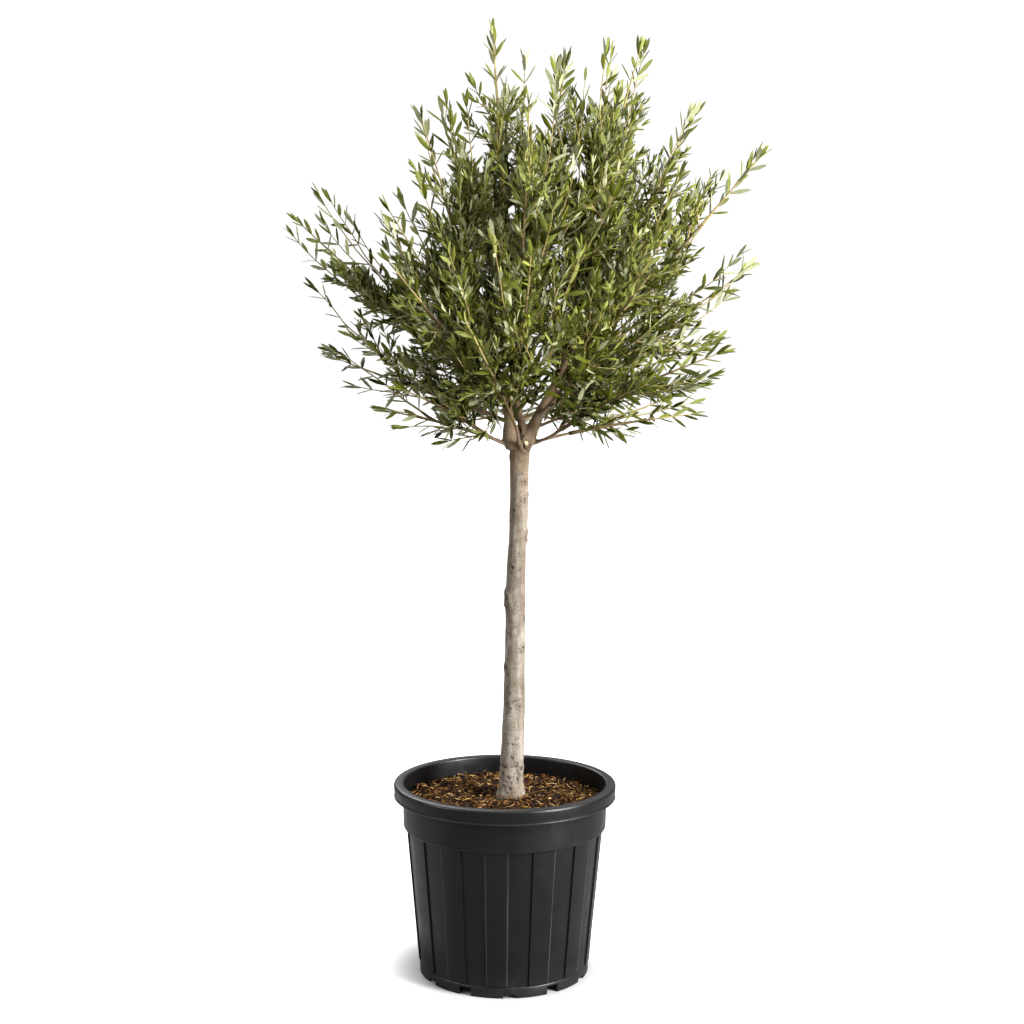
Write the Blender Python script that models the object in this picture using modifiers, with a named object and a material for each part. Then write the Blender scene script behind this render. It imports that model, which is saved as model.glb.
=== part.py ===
"""A standard olive tree in a ribbed nursery pot.

Metres, +Z up.  The origin is the centre of the pot's flat underside and the
front of the tree looks along -Y.  The tree is a trunk that forks into boughs.
Every bough carries one mass of foliage, and each mass fills its own sector of
the crown, seen from the fork.
"""
import math
import random

import bmesh
import bpy
from mathutils import Matrix, Vector
from mathutils.bvhtree import BVHTree

CLEARANCE = 0.0003

# Pot, a 50-litre container.
POT_HEIGHT = 0.397
RIM_RADIUS = 0.230
RIM_DEPTH = 0.029
RIM_ROLL = 0.004
COLLAR_RADIUS = 0.2115
COLLAR_DEPTH = 0.063
BODY_TOP_RADIUS = 0.2005
BODY_FOOT_RADIUS = 0.1750
FOOT_RADIUS = 0.1760
FOOT_BAND = 0.021
WALL = 0.003
FLOOR = 0.004
CHANNEL_HEIGHT = 0.014
FOOT_RING_WIDTH = 0.010
PAD_RADIUS = 0.070
RIB_COUNT = 13
SEGMENTS_PER_RIB = 4
RIB_HEIGHT = 0.003
RIB_SLOPE = 0.004
RIB_CENTRE = math.radians(-94.3)
NOTCH_COUNT = 12
NOTCH_WIDTH = 0.025
NOTCH_HEIGHTS = (0.006, 0.013)
NOTCH_START = math.radians(-86.0)

# Potting mix.
SOIL_CENTRE_HEIGHT = 0.367
SOIL_WALL_HEIGHT = 0.357
TRUNK_SEAT_RADIUS = 0.050

# Trunk: height, sideways place and radius at each station up to the fork.
TRUNK_STATIONS = (
    (0.3673, 0.0130, 0.0315),
    (0.3760, 0.0130, 0.0285),
    (0.3950, 0.0132, 0.0252),
    (0.4620, 0.0150, 0.0238),
    (0.5460, 0.0182, 0.0226),
    (0.6700, 0.0194, 0.0208),
    (0.7960, 0.0196, 0.0204),
    (0.8800, 0.0225, 0.0188),
    (0.9620, 0.0258, 0.0190),
    (1.0440, 0.0262, 0.0194),
    (1.0900, 0.0270, 0.0206),
    (1.1200, 0.0290, 0.0215),
)
# Knots on the trunk: height, bearing, radius and how far each stands out.
KNOTS = (
    (1.0985, -62.0, 0.0110, 0.0015),
    (0.9100, 5.0, 0.0085, 0.0020),
    (0.7810, -165.0, 0.0115, 0.0030),
    (0.6380, -150.0, 0.0085, 0.0018),
    (0.4270, -35.0, 0.0090, 0.0015),
)
KNOT_SQUASH = 0.75
TRUNK_BEVEL = 4

# Crown.  Every sector of the crown is measured from the fork.
FORK = Vector((0.029, 0.0, 1.121))
MAIN_RADIUS = 0.0125
SIDE_RADIUS = 0.0080
TWIGGY_RADIUS = 0.0062
BOUGH_TIP_RADIUS = 0.0050

# bough: what it leaves, how far along that, its first radius, and the
# bearing, rise and reach of its leading shoot.
BOUGHS = (
    ("left", "trunk", 0.965, MAIN_RADIUS, -145, 68.5, 0.675),
    ("right", "trunk", 0.960, MAIN_RADIUS, 15, 60.5, 0.775),
    ("middle", "trunk", 0.985, 0.0105, 138, 84, 0.835),
    ("low_left", "trunk", 0.955, TWIGGY_RADIUS, -170, 9, 0.310),
    ("low_right", "trunk", 0.960, TWIGGY_RADIUS, 6, 6, 0.385),
    ("fore", "trunk", 0.955, TWIGGY_RADIUS, -94, 14, 0.420),
    ("aft", "trunk", 0.965, SIDE_RADIUS, 92, 38, 0.560),
    ("left_lower", "left", 0.22, TWIGGY_RADIUS, 164, 20, 0.465),
    ("left_arm", "left", 0.42, SIDE_RADIUS, 180, 43, 0.645),
    ("upper_left", "left", 0.62, SIDE_RADIUS, -152, 56, 0.550),
    ("fore_left", "left", 0.50, SIDE_RADIUS, -126, 38, 0.560),
    ("aft_left", "middle", 0.40, SIDE_RADIUS, 138, 44, 0.580),
    ("right_lower", "right", 0.16, TWIGGY_RADIUS, -16, 22, 0.465),
    ("right_side", "right", 0.36, SIDE_RADIUS, 12, 35, 0.610),
    ("right_arm", "right", 0.56, SIDE_RADIUS, -12, 49, 0.740),
    ("top_right", "right", 0.78, SIDE_RADIUS, -5, 73, 0.820),
    ("fore_right", "right", 0.28, SIDE_RADIUS, -50, 40, 0.570),
    ("fore_top", "middle", 0.55, SIDE_RADIUS, -88, 66, 0.700),
    ("top_centre", "middle", 0.76, SIDE_RADIUS, 58, 78, 0.800),
    ("aft_top", "middle", 0.62, SIDE_RADIUS, 98, 62, 0.700),
    ("aft_right", "right", 0.45, SIDE_RADIUS, 54, 42, 0.600),
    ("aft_low_left", "aft", 0.25, TWIGGY_RADIUS, 124, 14, 0.400),
    ("aft_low_right", "aft", 0.40, TWIGGY_RADIUS, 52, 12, 0.420),
    ("fore_low_right", "low_right", 0.25, TWIGGY_RADIUS, -46, 17, 0.390),
    ("fore_low_left", "low_left", 0.30, TWIGGY_RADIUS, -136, 16, 0.360),
    ("fore_middle", "left", 0.30, SIDE_RADIUS, -88, 40, 0.550),
)
SPREAD = 14.0
LEAVING_SHARE = 0.16
LEAVING_TURN = 0.75
AIM_SHARE = 0.45
BASE_SHARE = 0.28
ROUTE_STEPS = 48
BOUGH_POINTS = 4
GUARD_REACH = 0.06

# Foliage.  The sectors part at a point below the fork.
SECTOR_APEX = FORK - Vector((0.0, 0.0, 0.10))
SEED = 612
SECTOR_MARGIN = 0.002
LIMB_MARGIN = 0.0025
REACH_BLEND = 0.314
SHARE_BETWEEN = 0.97
OFF_AXIS_LOSS = 0.5
LEADER_SLACK = 1.005
LEADER_LOSS = 3.5
SKIRT_HEIGHT = 1.067
SKIRT_RADIUS = 0.18
SKIRT_RISE = 0.46
TYPICAL_REACH = 0.62
STEM_RADII = (0.0048, 0.0028)
STEM_STEPS = 4
IN_LINE = 0.012
TWIG_RADII = (0.0036, 0.0022)
TWIG_SPACING = 0.058
FIRST_TWIG = 0.018
LAST_TWIG = 0.045
TWIG_ANGLE = math.radians(52)
TWIG_ANGLE_RANGE = math.radians(7)
TWIG_STEPS = 2
TWIG_BEND = 0.36
SHORTEST_TWIG = 0.05
LONGEST_TWIG = 0.26
TWIG_TO_STEM = 0.8
TWIG_CUT = 0.9
TURN = math.radians(137.5)
TRIES = 8
LEAF_LENGTH = 0.118
LEAF_WIDTH = 0.0436
LEAF_THICKNESS = 0.0030
INNER_LEAF = 1.66
OUTER_LEAF = 0.885
LEAF_SPREAD = math.radians(36.4)
LEAF_SPREAD_RANGE = math.radians(11.5)
LEAF_ROLL_RANGE = math.radians(28.6)
LEAF_SPACING = 0.060
LEAF_SINK = 0.001
TIP_LEAF_SINK = 0.008
STALK_SHARE = 0.14
FIRST_PAIR = 0.25
TIP_TO_PAIR = 0.3
LEAFY_STEM_PAIRS = 1.5
PAIR_TRIES = 5
PAIR_TURN = math.radians(36)
FEWEST_LEAVES = 3
TRIM = 0.85


def clear_scene():
    for item in list(bpy.data.objects):
        bpy.data.objects.remove(item, do_unlink=True)


def new_collection(name):
    collection = bpy.data.collections.new(name)
    bpy.context.scene.collection.children.link(collection)
    return collection


def material(name, colour, roughness):
    made = bpy.data.materials.new(name)
    made.use_nodes = True
    shader = made.node_tree.nodes["Principled BSDF"]
    shader.inputs["Base Color"].default_value = (*colour, 1.0)
    shader.inputs["Roughness"].default_value = roughness
    shader.inputs["Metallic"].default_value = 0.0
    return made


def add_object(name, mesh, collection, finish=None):
    made = bpy.data.objects.new(name, mesh)
    collection.objects.link(made)
    if finish:
        mesh.materials.clear()
        mesh.materials.append(finish)
    return made


def hide(cutter):
    cutter.hide_render = True
    cutter.display_type = "WIRE"


def move_to(made, collection):
    for old in made.users_collection:
        old.objects.unlink(made)
    collection.objects.link(made)


def smooth(made, angle):
    made.data.shade_smooth()
    made.data.set_sharp_from_angle(angle=angle)


def remove_object(made):
    data = made.data
    bpy.data.objects.remove(made, do_unlink=True)
    if isinstance(data, bpy.types.Mesh):
        bpy.data.meshes.remove(data)
    else:
        bpy.data.curves.remove(data)


def evaluated_mesh(made):
    depsgraph = bpy.context.evaluated_depsgraph_get()
    return bpy.data.meshes.new_from_object(made.evaluated_get(depsgraph))


def apply_modifiers(made):
    mesh = evaluated_mesh(made)
    old = made.data
    made.modifiers.clear()
    made.data = mesh
    bpy.data.meshes.remove(old)


def keep_largest_body(mesh):
    """Drop every scrap that a cut has parted from the main body."""
    work = bmesh.new()
    work.from_mesh(mesh)
    bodies = []
    waiting = set(work.verts)
    while waiting:
        body = {waiting.pop()}
        edge_of_body = list(body)
        while edge_of_body:
            vert = edge_of_body.pop()
            for edge in vert.link_edges:
                other = edge.other_vert(vert)
                if other in waiting:
                    waiting.remove(other)
                    body.add(other)
                    edge_of_body.append(other)
        bodies.append(body)
    bodies.sort(key=len, reverse=True)
    for scrap in bodies[1:]:
        bmesh.ops.delete(work, geom=list(scrap), context="VERTS")
    bmesh.ops.remove_doubles(work, verts=work.verts, dist=1e-6)
    bmesh.ops.triangulate(work, faces=work.faces)
    work.to_mesh(mesh)
    work.free()


def boolean(target, operation, other):
    """Join or cut target with one object or with a whole collection."""
    change = target.modifiers.new(operation.lower(), "BOOLEAN")
    change.operation = operation
    change.solver = "EXACT"
    if isinstance(other, bpy.types.Collection):
        change.operand_type = "COLLECTION"
        change.collection = other
    else:
        change.object = other
    apply_modifiers(target)
    keep_largest_body(target.data)


def turned(name, profile, segments, collection, finish):
    """Turn an outline of (radius, height) points round the vertical axis."""
    mesh = bpy.data.meshes.new(name)
    points = [(radius, 0.0, height) for radius, height in profile]
    mesh.from_pydata(points, [(i, i + 1) for i in range(len(points) - 1)], [])
    made = add_object(name, mesh, collection, finish)
    screw = made.modifiers.new("turn", "SCREW")
    screw.steps = segments
    screw.render_steps = segments
    screw.use_merge_vertices = True
    screw.merge_threshold = 0.00001
    apply_modifiers(made)
    return made


def triangle_outline(collection):
    """The unit three-sided section that twigs are drawn out along."""
    data = bpy.data.curves.new("twig_section", "CURVE")
    data.dimensions = "2D"
    spline = data.splines.new("POLY")
    spline.points.add(2)
    for corner in range(3):
        angle = math.tau * corner / 3
        spline.points[corner].co = (math.cos(angle), math.sin(angle), 0.0, 1.0)
    spline.use_cyclic_u = True
    section = bpy.data.objects.new("twig_section", data)
    hide(section)
    collection.objects.link(section)
    return section


def tube(name, points, radii, bevel, collection, finish, section=None):
    """A tapering tube along points, round or of the given section."""
    data = bpy.data.curves.new(name, "CURVE")
    data.dimensions = "3D"
    data.use_fill_caps = True
    if section:
        data.bevel_mode = "OBJECT"
        data.bevel_object = section
    else:
        data.bevel_depth = 1.0
        data.bevel_resolution = bevel
    spline = data.splines.new("POLY")
    spline.points.add(len(points) - 1)
    for station, point, radius in zip(spline.points, points, radii):
        station.co = (*point, 1.0)
        station.radius = radius
    guide = bpy.data.objects.new(name + "_guide", data)
    collection.objects.link(guide)
    mesh = evaluated_mesh(guide)
    remove_object(guide)
    work = bmesh.new()
    work.from_mesh(mesh)
    bmesh.ops.remove_doubles(work, verts=work.verts, dist=1e-5)
    bmesh.ops.recalc_face_normals(work, faces=work.faces)
    work.to_mesh(mesh)
    work.free()
    return add_object(name, mesh, collection, finish)


# ---------------------------------------------------------------- pot

def pot_profile():
    """From the middle of the floor up the inside and down the outside."""
    rim_foot = POT_HEIGHT - RIM_DEPTH
    body_top = rim_foot - COLLAR_DEPTH
    inner_collar = COLLAR_RADIUS - WALL
    floor_top = CHANNEL_HEIGHT + FLOOR
    return (
        (0.0, floor_top),
        (BODY_FOOT_RADIUS - WALL, floor_top),
        (BODY_TOP_RADIUS - WALL, body_top + WALL),
        (inner_collar, body_top + 2 * WALL),
        (inner_collar, POT_HEIGHT - 1.5 * RIM_ROLL),
        (inner_collar + RIM_ROLL, POT_HEIGHT),
        (RIM_RADIUS - RIM_ROLL, POT_HEIGHT),
        (RIM_RADIUS, POT_HEIGHT - RIM_ROLL),
        (RIM_RADIUS - WALL / 2, rim_foot),
        (RIM_RADIUS - 1.5 * WALL, rim_foot),
        (RIM_RADIUS - WALL, POT_HEIGHT - 1.5 * RIM_ROLL),
        (COLLAR_RADIUS, POT_HEIGHT - 1.5 * RIM_ROLL),
        (COLLAR_RADIUS - WALL / 2, body_top + WALL / 2),
        (BODY_TOP_RADIUS, body_top - WALL / 2),
        (BODY_FOOT_RADIUS, FOOT_BAND + WALL),
        (FOOT_RADIUS, FOOT_BAND),
        (FOOT_RADIUS, 0.0),
        (FOOT_RADIUS - FOOT_RING_WIDTH, 0.0),
        (FOOT_RADIUS - FOOT_RING_WIDTH, CHANNEL_HEIGHT),
        (PAD_RADIUS, CHANNEL_HEIGHT),
        (PAD_RADIUS, 0.0),
        (0.0, 0.0),
    )


def raise_ribs(pot):
    """Press every other panel of the body wall outwards."""
    work = bmesh.new()
    work.from_mesh(pot.data)
    pitch = math.tau / RIB_COUNT
    middle_height = (POT_HEIGHT - RIM_DEPTH - COLLAR_DEPTH + FOOT_BAND) / 2
    middle_radius = (BODY_TOP_RADIUS + BODY_FOOT_RADIUS) / 2
    for rib in range(RIB_COUNT):
        panel = []
        for face in work.faces:
            centre = face.calc_center_median()
            at_middle = abs(centre.z - middle_height) < FOOT_BAND / 2
            outside = math.hypot(centre.x, centre.y) > middle_radius - WALL / 2
            bearing = math.atan2(centre.y, centre.x) - pitch * rib
            turned_away = (bearing - RIB_CENTRE + math.pi) % math.tau - math.pi
            if at_middle and outside and abs(turned_away) < pitch / 4:
                panel.append(face)
        bmesh.ops.inset_region(work, faces=panel, thickness=RIB_SLOPE, depth=RIB_HEIGHT)
    work.to_mesh(pot.data)
    work.free()


def make_pot(parts, cutters):
    plastic = material("pot plastic", (0.018, 0.019, 0.019), 0.45)
    pot = turned("pot", pot_profile(), RIB_COUNT * SEGMENTS_PER_RIB, parts, plastic)
    segment = math.tau / (RIB_COUNT * SEGMENTS_PER_RIB)
    pot.data.transform(Matrix.Rotation(RIB_CENTRE % segment, 4, "Z"))
    raise_ribs(pot)
    for index in range(NOTCH_COUNT):
        height = NOTCH_HEIGHTS[index % len(NOTCH_HEIGHTS)]
        bpy.ops.mesh.primitive_cube_add(size=1.0)
        notch = bpy.context.active_object
        notch.name = "notch_cutter"
        notch.scale = (3 * FOOT_RING_WIDTH, NOTCH_WIDTH, 2 * height)
        bearing = NOTCH_START + math.tau * index / NOTCH_COUNT
        notch.rotation_euler.z = bearing
        ring_middle = FOOT_RADIUS - FOOT_RING_WIDTH / 2
        notch.location = (ring_middle * math.cos(bearing), ring_middle * math.sin(bearing), 0.0)
        move_to(notch, cutters)
        hide(notch)
    boolean(pot, "DIFFERENCE", cutters)
    for notch in list(cutters.objects):
        remove_object(notch)
    smooth(pot, math.radians(30))


def make_soil(parts):
    compost = material("potting mix", (0.065, 0.036, 0.018), 0.95)
    floor_top = CHANNEL_HEIGHT + FLOOR + CLEARANCE
    body_top = POT_HEIGHT - RIM_DEPTH - COLLAR_DEPTH
    collar = COLLAR_RADIUS - WALL - CLEARANCE
    profile = (
        (0.0, SOIL_CENTRE_HEIGHT),
        (TRUNK_SEAT_RADIUS, SOIL_CENTRE_HEIGHT),
        (collar, SOIL_WALL_HEIGHT),
        (collar, body_top + 2 * WALL + CLEARANCE),
        (BODY_TOP_RADIUS - WALL - CLEARANCE, body_top + WALL + CLEARANCE),
        (BODY_FOOT_RADIUS - WALL - CLEARANCE, floor_top),
        (0.0, floor_top),
    )
    soil = turned("potting_mix", profile, RIB_COUNT * SEGMENTS_PER_RIB // 2, parts, compost)
    segment = math.tau / (RIB_COUNT * SEGMENTS_PER_RIB)
    soil.data.transform(Matrix.Rotation(RIB_CENTRE % segment, 4, "Z"))
    keep_largest_body(soil.data)
    smooth(soil, math.radians(30))


# ---------------------------------------------------------------- limbs

def direction(bearing, rise):
    """The unit vector at a bearing from +X and a rise above level, in degrees."""
    flat = math.cos(math.radians(rise))
    return Vector((
        flat * math.cos(math.radians(bearing)),
        flat * math.sin(math.radians(bearing)),
        math.sin(math.radians(rise)),
    ))


def curve_point(controls, share):
    """A point on the cubic Bezier curve of four control points."""
    rest = 1.0 - share
    weights = (rest ** 3, 3 * rest ** 2 * share, 3 * rest * share ** 2, share ** 3)
    return sum((weight * point for weight, point in zip(weights, controls)), Vector())


def mix(first, second, share):
    return first + (second - first) * share


def path_length(points):
    return sum((b - a).length for a, b in zip(points, points[1:]))


def along(points, share):
    """The point and heading at a share of a polyline's length."""
    spans = [(b - a).length for a, b in zip(points, points[1:])]
    wanted = share * sum(spans)
    for a, b, span in zip(points, points[1:], spans):
        if wanted <= span:
            return mix(a, b, wanted / span), (b - a).normalized()
        wanted -= span
    return points[-1], (points[-1] - points[-2]).normalized()


def evenly_spaced(points, wanted):
    return [along(points, i / (wanted - 1))[0] for i in range(wanted)]


def trunk_points():
    return [Vector((side, 0.0, height)) for height, side, radius in TRUNK_STATIONS]


class Limb:
    """A bough and, as far as it goes on in the foliage, its leading shoot."""

    def __init__(self, row, limbs):
        self.name, parent, leaving, self.radius, bearing, rise, self.reach = row
        self.axis = direction(bearing, rise)
        self.tip = FORK + self.axis * self.reach
        self.sector_axis = (self.tip - SECTOR_APEX).normalized()
        parent_points = limbs[parent].bough if parent in limbs else trunk_points()
        start, parent_heading = along(parent_points, leaving)
        spread = direction(bearing, max(rise - SPREAD, 0.5 * rise))
        controls = (
            start,
            start + mix(parent_heading, spread, LEAVING_TURN).normalized() * LEAVING_SHARE * self.reach,
            FORK + self.axis * AIM_SHARE * self.reach,
            self.tip,
        )
        route = [curve_point(controls, step / ROUTE_STEPS) for step in range(ROUTE_STEPS + 1)]
        base = next(i for i, p in enumerate(route) if (p - FORK).length > BASE_SHARE * self.reach)
        self.bough = evenly_spaced(route[:base + 1], BOUGH_POINTS)
        self.shoot = route[base:]


def grow_limbs():
    limbs = {}
    for row in BOUGHS:
        limbs[row[0]] = Limb(row, limbs)
    return limbs


def tapered(first, last, count):
    return [mix(first, last, i / (count - 1)) for i in range(count)]


def make_trunk(parts, knots, bark):
    points = trunk_points()
    radii = [radius for height, side, radius in TRUNK_STATIONS]
    trunk = tube("trunk", points, radii, TRUNK_BEVEL, parts, bark)
    for index, (height, bearing, radius, stands_out) in enumerate(KNOTS):
        below = max(i for i, station in enumerate(TRUNK_STATIONS) if station[0] < height)
        low, high = TRUNK_STATIONS[below], TRUNK_STATIONS[below + 1]
        share = (height - low[0]) / (high[0] - low[0])
        trunk_radius = mix(low[2], high[2], share)
        outward = direction(bearing, 0)
        centre = Vector((mix(low[1], high[1], share), 0.0, height))
        bpy.ops.mesh.primitive_ico_sphere_add(subdivisions=1, radius=radius)
        knot = bpy.context.active_object
        knot.name = f"knot_{index}"
        knot.scale = (KNOT_SQUASH, KNOT_SQUASH, 1.0)
        knot.location = centre + outward * (trunk_radius + stands_out - KNOT_SQUASH * radius)
        move_to(knot, knots)
    boolean(trunk, "UNION", knots)
    for knot in list(knots.objects):
        remove_object(knot)
    smooth(trunk, math.radians(35))


def near(points, others, reach):
    return any((a - b).length < reach for a in points for b in others)


def make_boughs(limbs, parts, cutters, bark):
    """Each bough is cut back, 0.3 mm clear, by the trunk and the boughs before it."""
    trunk_radii = [radius + CLEARANCE for height, side, radius in TRUNK_STATIONS]
    trunk_guard_points = trunk_points()
    trunk_guard_points[-1] = trunk_guard_points[-1] + Vector((0, 0, CLEARANCE))
    guards = [(trunk_guard_points, trunk_radii, TRUNK_BEVEL)]
    for limb in limbs.values():
        bevel = 2 if limb.radius > SIDE_RADIUS else 1
        radii = tapered(limb.radius, BOUGH_TIP_RADIUS, BOUGH_POINTS)
        bough = tube("bough_" + limb.name, limb.bough, radii, bevel, parts, bark)
        for guard_points, guard_radii, guard_bevel in guards:
            if near(limb.bough, guard_points, GUARD_REACH):
                guard = tube("guard", guard_points, guard_radii, guard_bevel, cutters, None)
                hide(guard)
                boolean(bough, "DIFFERENCE", guard)
                remove_object(guard)
        smooth(bough, math.radians(50))
        guards.append((limb.bough, [radius + CLEARANCE for radius in radii], bevel))


# ---------------------------------------------------------------- foliage

def distance_to_span(point, start, end):
    span = end - start
    share = max(0.0, min(1.0, (point - start).dot(span) / span.length_squared))
    return (point - start - span * share).length


class Sector:
    """The space of one mass: nearer to its own axis than to any other's."""

    def __init__(self, limb, limbs):
        self.limb = limb
        self.leaders = [(other.axis, other.reach) for other in limbs.values()]
        self.walls = []
        for other in limbs.values():
            if other is not limb:
                self.walls.append((limb.sector_axis - other.sector_axis).normalized())
        self.spans = []
        points = trunk_points()
        for low, high, station in zip(points, points[1:], TRUNK_STATIONS):
            self.spans.append((low, high, station[2]))
        for other in limbs.values():
            for low, high in zip(other.bough, other.bough[1:]):
                self.spans.append((low, high, other.radius))

    def holds(self, point, margin=SECTOR_MARGIN):
        from_apex = point - SECTOR_APEX
        if any(from_apex.dot(wall) < margin for wall in self.walls):
            return False
        out = point - FORK
        skirt = SKIRT_HEIGHT + SKIRT_RISE * max(0.0, math.hypot(out.x, out.y) - SKIRT_RADIUS)
        return point.z > skirt and out.length < self.reach_towards(point)

    def reach_towards(self, point):
        """How far the crown goes that way: its leaders' reach, blended, and less between them."""
        out = point - FORK
        total = 0.0
        weights = 0.0
        for axis, reach in self.leaders:
            weight = math.exp(-((out.angle(axis, 0.0) / REACH_BLEND) ** 2))
            total += weight * reach
            weights += weight
        off_axis = out.angle(self.limb.axis, 0.0)
        between = SHARE_BETWEEN * total / weights * (1.0 - OFF_AXIS_LOSS * off_axis ** 2)
        return max(between, self.limb.reach * (LEADER_SLACK - LEADER_LOSS * off_axis ** 2))

    def clear_of_limbs(self, point, thickness):
        for low, high, radius in self.spans:
            if distance_to_span(point, low, high) < radius + thickness + LIMB_MARGIN:
                return False
        return True


# Places on a leaf, across and along it, that are tried for room.
LEAF_CHECKS = (
    (0.0, 0.3), (0.0, 0.5), (0.0, 0.75), (0.0, 1.0),
    (0.5, 0.5), (-0.5, 0.5), (0.25, 0.25), (-0.25, 0.25), (0.25, 0.75), (-0.25, 0.75),
)


def leaf_frame(root, heading, face):
    """The matrix of a leaf that lies along heading, its upper side to face."""
    across = heading.cross(face).normalized()
    upper = across.cross(heading).normalized()
    frame = Matrix((across, upper, heading)).transposed().to_4x4()
    frame.translation = root
    return frame


def leaf_outline(frame, length, width):
    """The flat outline of a leaf beyond its stalk, for telling whether two leaves cross."""
    half = width / 2
    flat = (
        (0.0, 0.0, STALK_SHARE * length),
        (half, 0.0, length / 2),
        (0.0, 0.0, length),
        (-half, 0.0, length / 2),
    )
    corners = [frame @ Vector(corner) for corner in flat]
    return BVHTree.FromPolygons(corners, [(0, 1, 2), (0, 2, 3)], epsilon=LEAF_THICKNESS)


class Mass:
    """The stem, twigs and leaves of one mass, as paths and frames."""

    def __init__(self, sector, seed):
        self.sector = sector
        self.size = math.sqrt(sector.limb.reach / TYPICAL_REACH)
        self.random = random.Random(seed)
        self.stem = self.stem_path()
        self.twigs = self.grow_twigs()
        self.leaves = []
        self.outlines = []
        self.clothe(self.stem, self.stem_leaf_start(), 0)
        leafy = [path for path in self.twigs if self.clothe(path, FIRST_PAIR, FEWEST_LEAVES)]
        self.twigs = leafy

    def stem_path(self):
        """On from 0.3 mm past its bough's tip, in line with it, to the leaf that ends the shoot."""
        shoot = self.sector.limb.shoot
        tip_leaf = OUTER_LEAF * self.size * LEAF_LENGTH - TIP_LEAF_SINK
        bare = 1.0 - tip_leaf / path_length(shoot)
        start, heading = along(self.sector.limb.bough, 1.0)
        path = [start + heading * CLEARANCE, start + heading * IN_LINE]
        for step in range(1, STEM_STEPS + 1):
            path.append(along(shoot, bare * step / STEM_STEPS)[0])
        return path

    def stem_leaf_start(self):
        return max(0.0, 1.0 - LEAFY_STEM_PAIRS * LEAF_SPACING * self.size / path_length(self.stem))

    def grow_twigs(self):
        """Twigs all round the stem, each turned by the golden angle from the last."""
        twigs = []
        length = path_length(self.stem)
        turn = self.random.uniform(0, math.tau)
        place = FIRST_TWIG
        while place < length - LAST_TWIG:
            node, heading = along(self.stem, place / length)
            wanted = min(LONGEST_TWIG, TWIG_TO_STEM * (length - place) + SHORTEST_TWIG)
            for attempt in range(TRIES):
                turn += TURN
                side = Matrix.Rotation(turn, 3, heading) @ heading.orthogonal().normalized()
                path = self.twig_path(node, heading, side, wanted)
                if path:
                    twigs.append(path)
                    break
                wanted *= TWIG_CUT
            place += TWIG_SPACING * self.size
        return twigs

    def twig_path(self, start, stem_heading, side, length):
        """A twig that leaves the stem aslant and bends outwards, or nothing for want of room."""
        angle = TWIG_ANGLE + self.random.uniform(-TWIG_ANGLE_RANGE, TWIG_ANGLE_RANGE)
        heading = stem_heading * math.cos(angle) + side * math.sin(angle)
        path = [start]
        for step in range(TWIG_STEPS):
            outward = (path[-1] - FORK).normalized()
            heading = mix(heading, outward, TWIG_BEND).normalized()
            point = path[-1] + heading * length / TWIG_STEPS
            if not self.sector.holds(point, SECTOR_MARGIN + TWIG_RADII[0]):
                return None
            if not self.sector.clear_of_limbs(point, TWIG_RADII[0]):
                return None
            path.append(point)
        return path if length > SHORTEST_TWIG else None

    def clothe(self, path, first_share, fewest):
        """Opposite pairs of leaves, each turned a quarter from the last, and one at the tip."""
        before = len(self.leaves)
        while True:
            point, heading = along(path, 1.0)
            side = heading.orthogonal().normalized()
            side = Matrix.Rotation(self.random.uniform(0, math.pi), 3, heading) @ side
            tip_leaf = self.leaf(path, point, heading, side, TIP_LEAF_SINK, OUTER_LEAF)
            if tip_leaf or path is self.stem or path_length(path) < SHORTEST_TWIG:
                break
            path[:] = [along(path, TRIM * i / TWIG_STEPS)[0] for i in range(TWIG_STEPS + 1)]
        self.keep(tip_leaf)
        spacing = LEAF_SPACING * self.size
        pairs = max(1, round(path_length(path) * (1.0 - first_share) / spacing))
        for pair in range(pairs):
            node, heading = along(path, mix(1.0, first_share, (pair + TIP_TO_PAIR) / pairs))
            side = (side - heading * side.dot(heading)).normalized()
            side = self.add_pair(path, node, heading, side)
            side = Matrix.Rotation(math.pi / 2, 3, heading) @ side
        if len(self.leaves) - before < fewest:
            del self.leaves[before:]
            del self.outlines[before:]
        return len(self.leaves) > before

    def add_pair(self, path, node, heading, side):
        """Turn the pair round its twig until both leaves have room, or keep the better half."""
        best = []
        best_side = side
        for attempt in range(PAIR_TRIES):
            pair = [self.side_leaf(path, node, heading, side * hand) for hand in (1.0, -1.0)]
            fitting = [leaf for leaf in pair if leaf]
            if len(fitting) > len(best):
                best = fitting
                best_side = side
            if len(best) == 2:
                break
            side = Matrix.Rotation(PAIR_TURN, 3, heading) @ side
        for leaf in best:
            self.keep(leaf)
        return best_side

    def side_leaf(self, path, node, heading, outward):
        lean = LEAF_SPREAD + self.random.uniform(-LEAF_SPREAD_RANGE, LEAF_SPREAD_RANGE)
        leaf_heading = heading * math.cos(lean) + outward * math.sin(lean)
        face = heading * math.sin(lean) - outward * math.cos(lean)
        roll = self.random.uniform(-LEAF_ROLL_RANGE, LEAF_ROLL_RANGE)
        face = Matrix.Rotation(roll, 3, leaf_heading) @ face
        depth = min(1.0, (node - FORK).length / self.sector.limb.reach)
        size = mix(INNER_LEAF, OUTER_LEAF, depth)
        return self.leaf(path, node, leaf_heading, face, LEAF_SINK, size)

    def leaf(self, path, node, heading, face, sink, size):
        """A leaf, if it keeps to the sector and clears the limbs, twigs and other leaves."""
        length = LEAF_LENGTH * size * self.size
        width = LEAF_WIDTH * size * self.size
        frame = leaf_frame(node - heading * sink, heading, face)
        if not self.leaf_fits(frame, length, width, path):
            return None
        outline = leaf_outline(frame, length, width)
        if any(outline.overlap(other) for other in self.outlines):
            return None
        return frame, length, width, outline

    def keep(self, leaf):
        if leaf:
            frame, length, width, outline = leaf
            self.leaves.append((frame, length, width))
            self.outlines.append(outline)

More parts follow.
